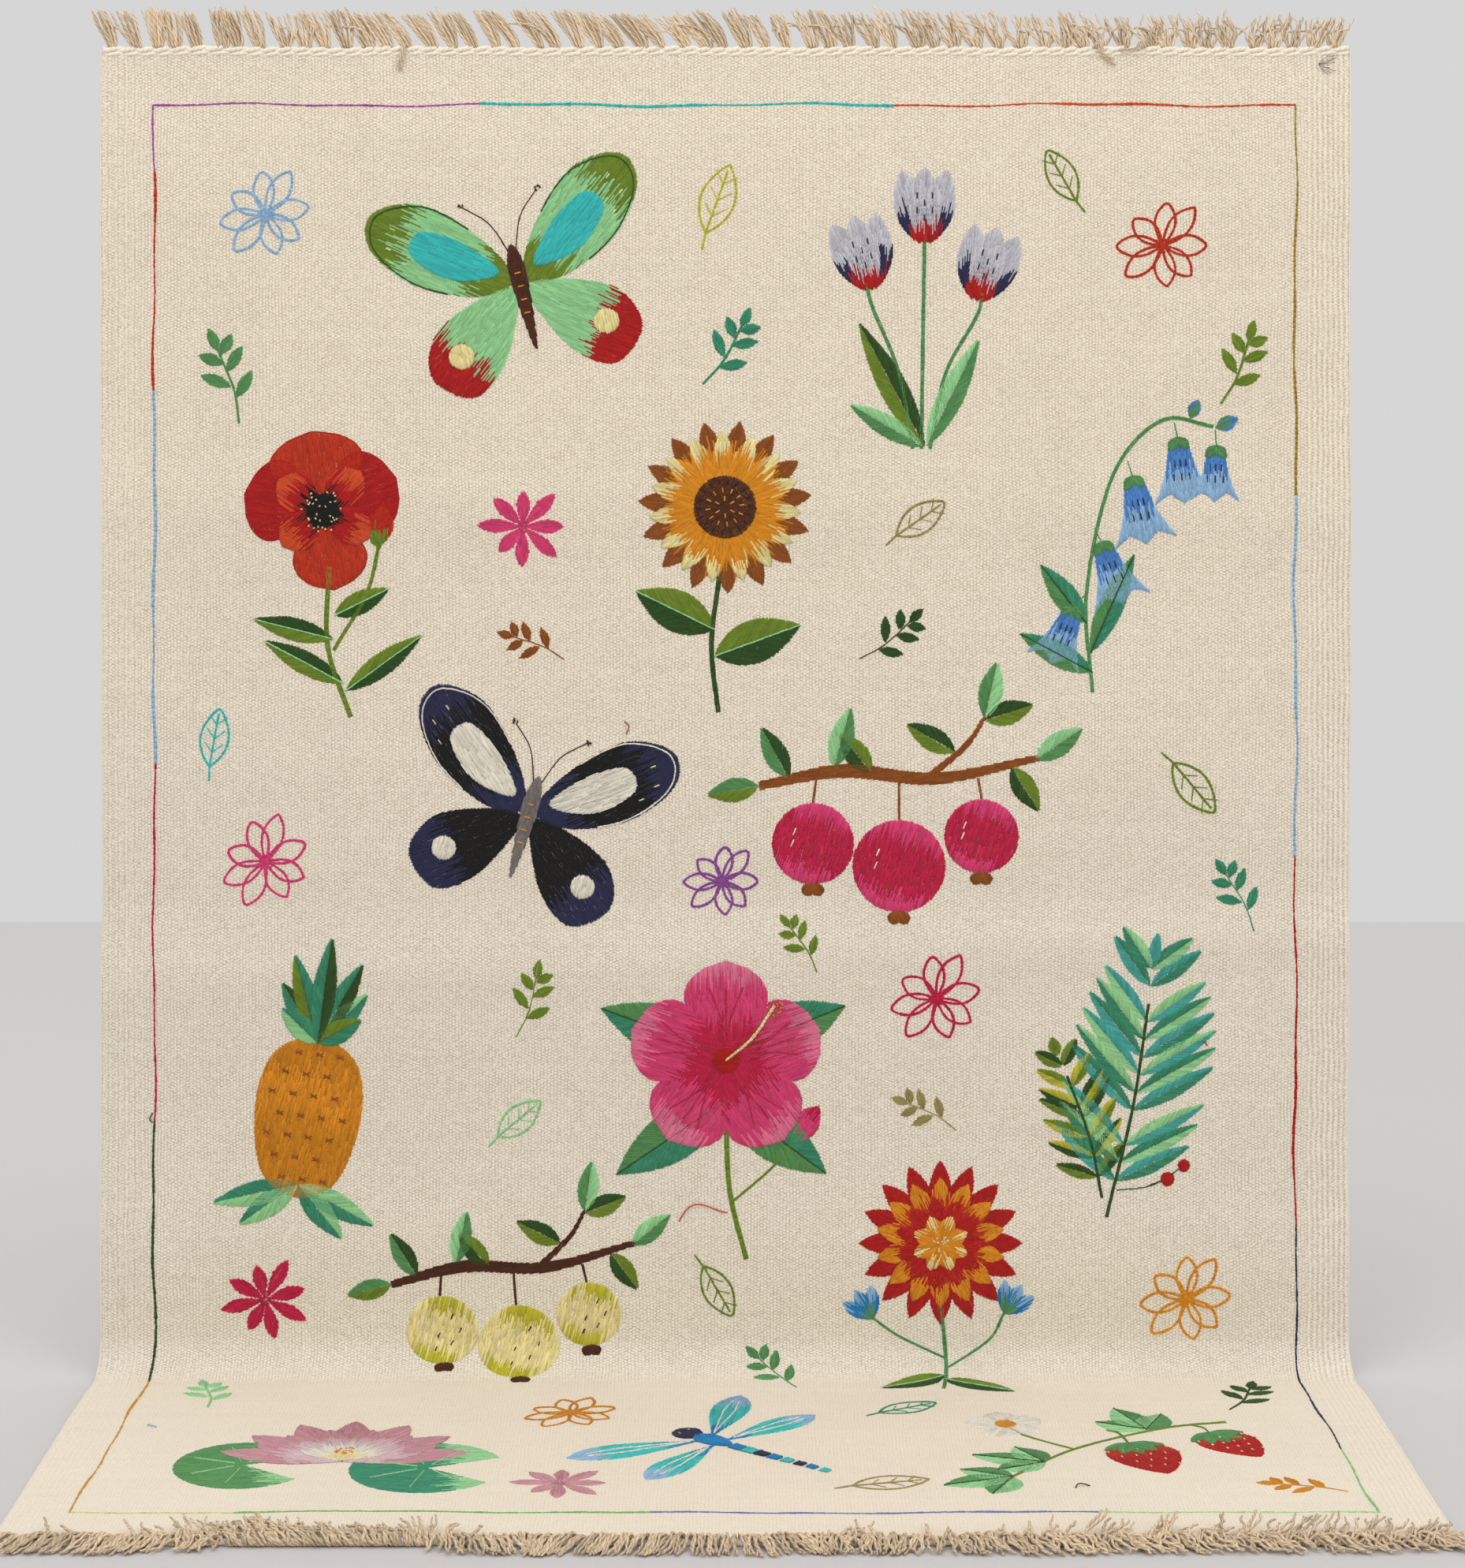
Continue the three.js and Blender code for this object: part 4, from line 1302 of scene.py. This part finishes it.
def dahlia(needle, main, second, third):
    """Four rings of pointed petals with blue buds on side stems."""
    needle.stem([(0, -150), (6, -90), (0, -10)], "leaf", 5)
    needle.stem([(4, -100), (56, -62), (74, -30)], "leaf", 3)
    needle.stem([(4, -84), (-50, -56), (-78, -36)], "leaf", 3)
    rings = ((16, 96, 27, (second, main, main)), (14, 76, 25, (main, "scarlet", second)),
             (11, 54, 22, ("crimson", main, main)), (8, 34, 18, (second, second, "butter")))
    for level, (count, length, width, shades) in enumerate(rings):
        for number in range(count):
            degrees = (number + 0.5 * (level % 2)) * 360 / count
            needle.petal((0, 52), length, width, degrees, shades, 0.6, 0.85, lift=0.65 * level)
    needle.seeds((0, 52), 10, "butter", 24, lift=3.0)
    for x, y, degrees in ((74, -32, 60), (-78, -38, 122)):
        for spread in (-28, 28, 0):
            needle.petal((x, y), 42, 17, degrees + spread, ["leaf", third, "sky"], 0.55)
    needle.leaf((4, -110), 84, 32, 206, ("forest", "olive"), "mint")
    needle.leaf((4, -118), 88, 32, -30, ("olive", "forest"), "mint")


def water_lily(needle, main, second, third):
    """A fan of petals over two round pads."""
    for x, y, radius, shade in ((-78, -44, 56, third), (70, -50, 62, "teal")):
        rim = circle((x, y), radius, 30)[2:28]
        needle.fill(np.concatenate([rim, [(x, y)]]), 8, [shade, shade, "mint"])
        for degrees in (60, 110, 160, 210, 260, 310):
            needle.line((x, y) + turned([(8, 0), (radius * 0.8, 0)], degrees), "mint", strands=1, lift=0.9)
    for level, (length, width, spread, shades) in enumerate((
        (104, 34, (12, 38, 64, 90, 116, 142, 168), (second, main, main)),
        (82, 30, (26, 52, 78, 104, 130, 154), (second, second, main)),
        (58, 26, (46, 76, 104, 132), ("butter", "white", second)),
    )):
        for degrees in spread:
            needle.petal((0, -34), length, width, degrees, shades, 0.55, lift=0.7 + 0.65 * level)
    needle.seeds((0, -12), 9, "orange", 24, lift=3.2)


def dragonfly(needle, main, second, third):
    """Four long wings with veins, and a body in rings."""
    for degrees, length, width in ((28, 124, 34), (152, 124, 34), (-8, 108, 32), (188, 108, 32)):
        base = (5 if abs(degrees) < 90 else -5, 30 if degrees in (28, 152) else 16)
        needle.petal(base, length, width, degrees, [third, main, main, second], 0.66, 0.7)
        for fan in (-5, 5):
            vein = base + turned([(12, 0), (length * 0.6, fan), (length * 0.85, fan * 0.6)], degrees)
            needle.line(vein, "white", lift=1.0, strands=1)
    needle.fill(circle((0, 52), 13), 90, "navy", 1.2)
    needle.fill(lobe((0, 44), 42, 22, -90, 0.4, 0.7), 90, third, 1.3)
    for ring in range(8):
        shade = (third, "turquoise", "navy")[ring % 3]
        tail = np.array([(-6, 6), (6, 6), (5, -7), (-5, -7)]) * (1 - ring * 0.06) + (0, -4 - ring * 13.5)
        needle.fill(tail, 0, shade, 1.2)
    needle.dashes([(-6, 56), (6, 56)], 70, "lime", 6, 2.2)


def strawberries(needle, main, second, third):
    """Two berries with pale seeds, a white flower and three-part leaves."""
    needle.stem([(-110, -70), (-30, 0), (60, 40), (120, 46)], "olive", 4)
    needle.stem([(-30, 0), (-62, 44), (-70, 70)], "olive", 3)
    for x, y, degrees, size in ((20, -8, -84, 1.0), (96, 6, -72, 0.86)):
        needle.line(curve([(x - 8, 44), (x, 34), (x, y + 10)]), "olive")
        needle.petal((x, y + 14), 84 * size, 62 * size, degrees, ["scarlet", main, main], 0.36, 0.72)
        for step in range(4):
            for offset in range(-1 - (step < 2), 2 + (step < 2)):
                seed = turned([(18 + step * 15, offset * 13 + (step % 2) * 6)], degrees) * size
                needle.dashes((x, y + 14) + seed, degrees, "butter", 5)
        for spread in (-64, -32, 0, 32, 64):
            needle.leaf((x, y + 14), 30, 13, degrees + spread, second, lift=0.9)
    for degrees in range(18, 360, 72):
        needle.petal((-70, 74), 34, 28, degrees, "white", 0.62, 0.6)
    needle.fill(circle((-70, 74), 9), 45, "orange", 1.0)
    for base, degrees in (((-100, -62), 190), ((-64, -30), 152), ((46, 40), 100)):
        for spread in (-44, 44, 0):
            needle.leaf(base, 62 if spread == 0 else 46, 32, degrees + spread, (third, second), "forest")


# Small motifs
def outline_flower(needle, dye):
    """Eight stitched outlines of petals round a knotted heart."""
    for number in range(8):
        degrees = number * 45 + 6 * math.sin(number * 2.3)
        length = 52 + 6 * math.sin(number * 1.7)
        needle.line(lobe((0, 0), length, 24, degrees, 0.55, 0.8), dye, closed=True, girth=1.25)
    needle.seeds((0, 0), 9, dye, 30, lift=0.8)


def star_flower(needle, dye):
    """Eight narrow filled petals."""
    for number in range(8):
        degrees = number * 45 + 8 * math.sin(number * 3.1)
        needle.petal((0, 0), 48 + 7 * math.sin(number * 2.1), 16, degrees, dye, 0.6)
    needle.seeds((0, 0), 7, dye, 22, lift=1.2)


def outline_leaf(needle, dye):
    """A leaf's outline with its midrib and side veins."""
    outline = lobe((-42, 0), 84, 40, 0, 0.48, 0.85)
    needle.line(outline, dye, closed=True, girth=1.15)
    needle.line([(-62, -3), (-42, 0), (34, 0)], dye, girth=1.05)
    for x in (-22, -2, 18):
        for side in (-1, 1):
            needle.line([(x, 0), (x + 13, side * 13)], dye, girth=1.1, strands=1)


def sprig(needle, dye):
    """A short stem with leaves in pairs."""
    needle.stem([(-6, -58), (2, -20), (0, 30)], dye, 2.6)
    for y, side, long in ((-30, 1, 38), (-16, -1, 40), (2, 1, 36), (12, -1, 32), (24, 1, 28)):
        needle.petal((1, y), long, 14, 90 - side * 50, dye, 0.5, 0.85)
    needle.petal((0, 28), 30, 13, 94, dye, 0.5, 0.85)


MOTIFS = {
    motif.__name__: motif
    for motif in (
        butterfly, tulips, poppy, sunflower, bellflower, fruit_branch, pineapple, hibiscus, fern, dahlia,
        water_lily, dragonfly, strawberries, outline_flower, star_flower, outline_leaf, sprig,
    )
}


def sew(needle, row, *dyes):
    """Sews the motif that a table's row asks for, where it asks for it."""
    needle.stand(row["across"], row["down"], row["turn"], row["size"])
    MOTIFS[row["motif"]](needle, *dyes)


def dyed_finish():
    """The one finish of all dyed yarn, made by whichever operator comes first."""
    known = bpy.data.materials.get("dyed_yarn")
    return known or yarn_finish("dyed_yarn", 3.4 * MM, 0.16, 0.08)


class RUG_OT_large_motifs(bpy.types.Operator):
    """Embroiders the large flowers, fruits, butterflies and leaves"""

    bl_idname = "rug.large_motifs"
    bl_label = "Large motifs"

    parts = 3

    def execute(self, context):
        for part in range(self.parts):
            needle = Needle(context.scene.rug_stitches, 100 + part)
            for row in LARGE_MOTIFS[part::self.parts]:
                sew(needle, row, *row["dyes"])
            needle.piece(f"large_motifs_{part + 1}", dyed_finish())
        return {"FINISHED"}


class RUG_OT_small_motifs(bpy.types.Operator):
    """Embroiders the small flowers, leaves and sprigs between the large motifs"""

    bl_idname = "rug.small_motifs"
    bl_label = "Small motifs"

    def execute(self, context):
        needle = Needle(context.scene.rug_stitches, 200)
        for row in SMALL_MOTIFS:
            sew(needle, row, row["dye"])
        needle.piece("small_motifs", dyed_finish())
        return {"FINISHED"}


class RUG_OT_border(bpy.types.Operator):
    """Chain-stitches the border line in its many colours"""

    bl_idname = "rug.border"
    bl_label = "Border line"

    point_pitch = 12.0

    def execute(self, context):
        needle = Needle(context.scene.rug_stitches, 300)
        fixed = {"top": BORDER_TOP, "bottom": BORDER_BOTTOM, "left": BORDER_LEFT, "right": BORDER_RIGHT}
        for row in BORDER_LINE:
            side = row["side"]
            count = max(2, round((row["end"] - row["begin"]) / self.point_pitch))
            run = np.linspace(row["begin"], row["end"], count)
            off = fixed[side] + 1.5 * np.sin(run / 57 + len(side)) + 0.9 * np.sin(run / 23)
            across, down = (run, off) if side in ("top", "bottom") else (off, run)
            needle.line(np.stack([across, -down], axis=-1), row["dye"], link=6.5, girth=1.08, uneven=0.3)
        needle.piece("border_line", dyed_finish())
        return {"FINISHED"}


class RUG_OT_loose_ends(bpy.types.Operator):
    """Leaves a few untrimmed yarn ends, and a tangle of grey thread in a top corner"""

    bl_idname = "rug.loose_ends"
    bl_label = "Loose ends"

    steps = 24
    end_radius, tangle_radius = 0.8, 0.3
    tangle_threads = 8
    tangle_place = (760, 17)

    def execute(self, context):
        chance = np.random.default_rng(41)
        along = np.linspace(0, 1, self.steps)
        paths, dyes = [], []
        for row in LOOSE_ENDS:
            bow = row["long"] * 0.22 * np.sin(math.pi * along * 1.3)
            line = turned(np.stack([row["long"] * along, bow], axis=-1), row["turn"])
            out = CLOTH_THICKNESS + 0.6 + 2.2 * np.sin(math.pi * along)
            paths.append(on_cloth(row["across"] + line[:, 0], row["down"] - line[:, 1], out))
            dyes.append(linear(DYES[row["dye"]]))
        for number in range(self.tangle_threads):
            way = math.radians(-38 + 100 * number / self.tangle_threads + chance.uniform(-8, 8))
            far = chance.uniform(14, 31) * along[:, None]
            bow = chance.uniform(-3, 3) * np.sin(math.pi * along * chance.uniform(0.8, 1.6))[:, None]
            line = np.array(self.tangle_place) + far * (math.cos(way), math.sin(way))
            line = line + bow * (-math.sin(way), math.cos(way))
            out = CLOTH_THICKNESS + 0.6 + 1.6 * np.sin(math.pi * along)
            paths.append(on_cloth(line[:, 0], line[:, 1], out))
            dyes.append(linear(DYES["pewter"]))
        is_end = np.arange(len(paths)) < len(LOOSE_ENDS)
        radii = np.where(is_end, self.end_radius, self.tangle_radius)[:, None] * MM
        piece = tubes("loose_ends", np.stack(paths), radii, 5, dyed_finish(), np.stack(dyes))
        return {"FINISHED"}


class RUG_OT_studio(bpy.types.Operator):
    """Sets the pale floor, the soft light and the camera"""

    bl_idname = "rug.studio"
    bl_label = "Studio"

    floor_half_width = 9
    floor_reach = 3.75
    air_light = 0.85
    aim = (0, -0.2, -0.9)
    shift = (0.0025, -0.229)

    def floor(self, studio):
        f = Finish("paper_floor")
        place = f.node("ShaderNodeTexCoord", output=3)
        cloud = f.noise(place, 0.8, 2.0, 0.5)
        _, depth, _ = f.split(place)
        # Painted light: the paper is coloured lighter towards the back, where the lamps light it less
        colour = f.blend(f.fade(depth, -1.2, 1.6), rgba(studio.near_floor), rgba(studio.far_floor))
        colour = f.brighten(colour, 0.985 + cloud * 0.03)
        grain = f.bump(f.noise(place, 900.0, 2.0, 0.6), 0.1 * MM, 0.2)
        material = f.wool(colour, grain, 0.75, 0.0)
        bm = bmesh.new()
        bmesh.ops.create_grid(bm, x_segments=24, y_segments=24, size=1)
        for v in bm.verts:
            across, depth = v.co.x * self.floor_half_width, (v.co.y - 1) * self.floor_half_width
            v.co = Vector((across, depth + self.floor_reach, FLOOR_Z))
        mesh = bpy.data.meshes.new("paper_floor")
        bm.to_mesh(mesh)
        bm.free()
        mesh.materials.append(material)
        floor = in_scene("paper_floor", mesh)

    def lamp(self, name, place, aim, size, power, colour=(1.0, 1.0, 1.0)):
        light = bpy.data.lights.new(name, "AREA")
        light.shape = "RECTANGLE"
        light.size, light.size_y = size
        light.energy = power
        light.color = colour
        lamp = in_scene(name, light)
        lamp.location = place
        lamp.rotation_euler = (Vector(aim) - Vector(place)).to_track_quat("-Z", "Y").to_euler()

    def air(self, scene, studio):
        world = bpy.data.worlds.new("air")
        scene.world = world
        world.use_nodes = True
        nodes, links = world.node_tree.nodes, world.node_tree.links
        seen = nodes["Background"]
        seen.inputs["Color"].default_value = rgba(studio.air_colour)
        lighting = nodes.new("ShaderNodeBackground")
        lighting.inputs["Color"].default_value = (1.0, 1.0, 1.0, 1.0)
        lighting.inputs["Strength"].default_value = self.air_light
        rays = nodes.new("ShaderNodeLightPath")
        mix = nodes.new("ShaderNodeMixShader")
        links.new(rays.outputs["Is Camera Ray"], mix.inputs[0])
        links.new(lighting.outputs[0], mix.inputs[1])
        links.new(seen.outputs[0], mix.inputs[2])
        links.new(mix.outputs[0], nodes["World Output"].inputs["Surface"])

    def execute(self, context):
        scene, studio = context.scene, context.scene.rug_studio
        scene.view_settings.view_transform = "Standard"
        self.floor(studio)
        self.air(scene, studio)
        self.lamp("key", (-1.6, -3.6, 2.2), self.aim, (2.6, 2.0), 40, (0.975, 0.985, 1.0))
        self.lamp("fill", (2.2, -3.4, 0.8), self.aim, (2.4, 2.4), 26, (1.0, 0.99, 0.97))
        self.lamp("top", (0, -1.6, 2.6), (0, -0.3, -1.2), (3.0, 1.6), 24)
        camera = bpy.data.cameras.new("camera")
        camera.lens = studio.lens
        camera.sensor_width = 36
        camera.shift_x, camera.shift_y = self.shift
        camera.clip_end = 60
        stand = in_scene("camera", camera)
        stand.location = studio.camera_place
        stand.rotation_euler = (math.pi / 2, 0, 0)
        scene.camera = stand
        return {"FINISHED"}


class RUG_PT_panel(bpy.types.Panel):
    """The rug's pieces and their settings"""

    bl_idname = "RUG_PT_panel"
    bl_label = "Rug"
    bl_space_type = "VIEW_3D"
    bl_region_type = "UI"
    bl_category = "Rug"

    def draw(self, context):
        for title, settings, operators in (
            ("Weave", context.scene.rug_weave, (RUG_OT_cloth, RUG_OT_edges)),
            ("Fringe", context.scene.rug_fringe,
             (RUG_OT_top_fringe, RUG_OT_fallen_bunches, RUG_OT_floor_fringe)),
            ("Stitches", context.scene.rug_stitches,
             (RUG_OT_large_motifs, RUG_OT_small_motifs, RUG_OT_border, RUG_OT_loose_ends)),
            ("Studio", context.scene.rug_studio, (RUG_OT_studio,)),
        ):
            box = self.layout.box()
            box.label(text=title)
            for name in settings.__annotations__:
                box.prop(settings, name)
            for operator in operators:
                box.operator(operator.bl_idname)


GROUPS = {
    "rug_weave": RugWeave,
    "rug_fringe": RugFringe,
    "rug_stitches": RugStitches,
    "rug_studio": RugStudio,
}
OPERATORS = (
    RUG_OT_studio,
    RUG_OT_cloth,
    RUG_OT_edges,
    RUG_OT_top_fringe,
    RUG_OT_fallen_bunches,
    RUG_OT_floor_fringe,
    RUG_OT_large_motifs,
    RUG_OT_small_motifs,
    RUG_OT_border,
    RUG_OT_loose_ends,
)


def register():
    for cls in (*GROUPS.values(), *OPERATORS, RUG_PT_panel):
        bpy.utils.register_class(cls)
    for name, group in GROUPS.items():
        setattr(bpy.types.Scene, name, PointerProperty(type=group))


def unregister():
    for name in GROUPS:
        delattr(bpy.types.Scene, name)
    for cls in reversed((*GROUPS.values(), *OPERATORS, RUG_PT_panel)):
        bpy.utils.unregister_class(cls)


def main():
    register()
    for operator in OPERATORS:
        group, name = operator.bl_idname.split(".")
        getattr(getattr(bpy.ops, group), name)()
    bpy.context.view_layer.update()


if __name__ == "__main__":
    main()
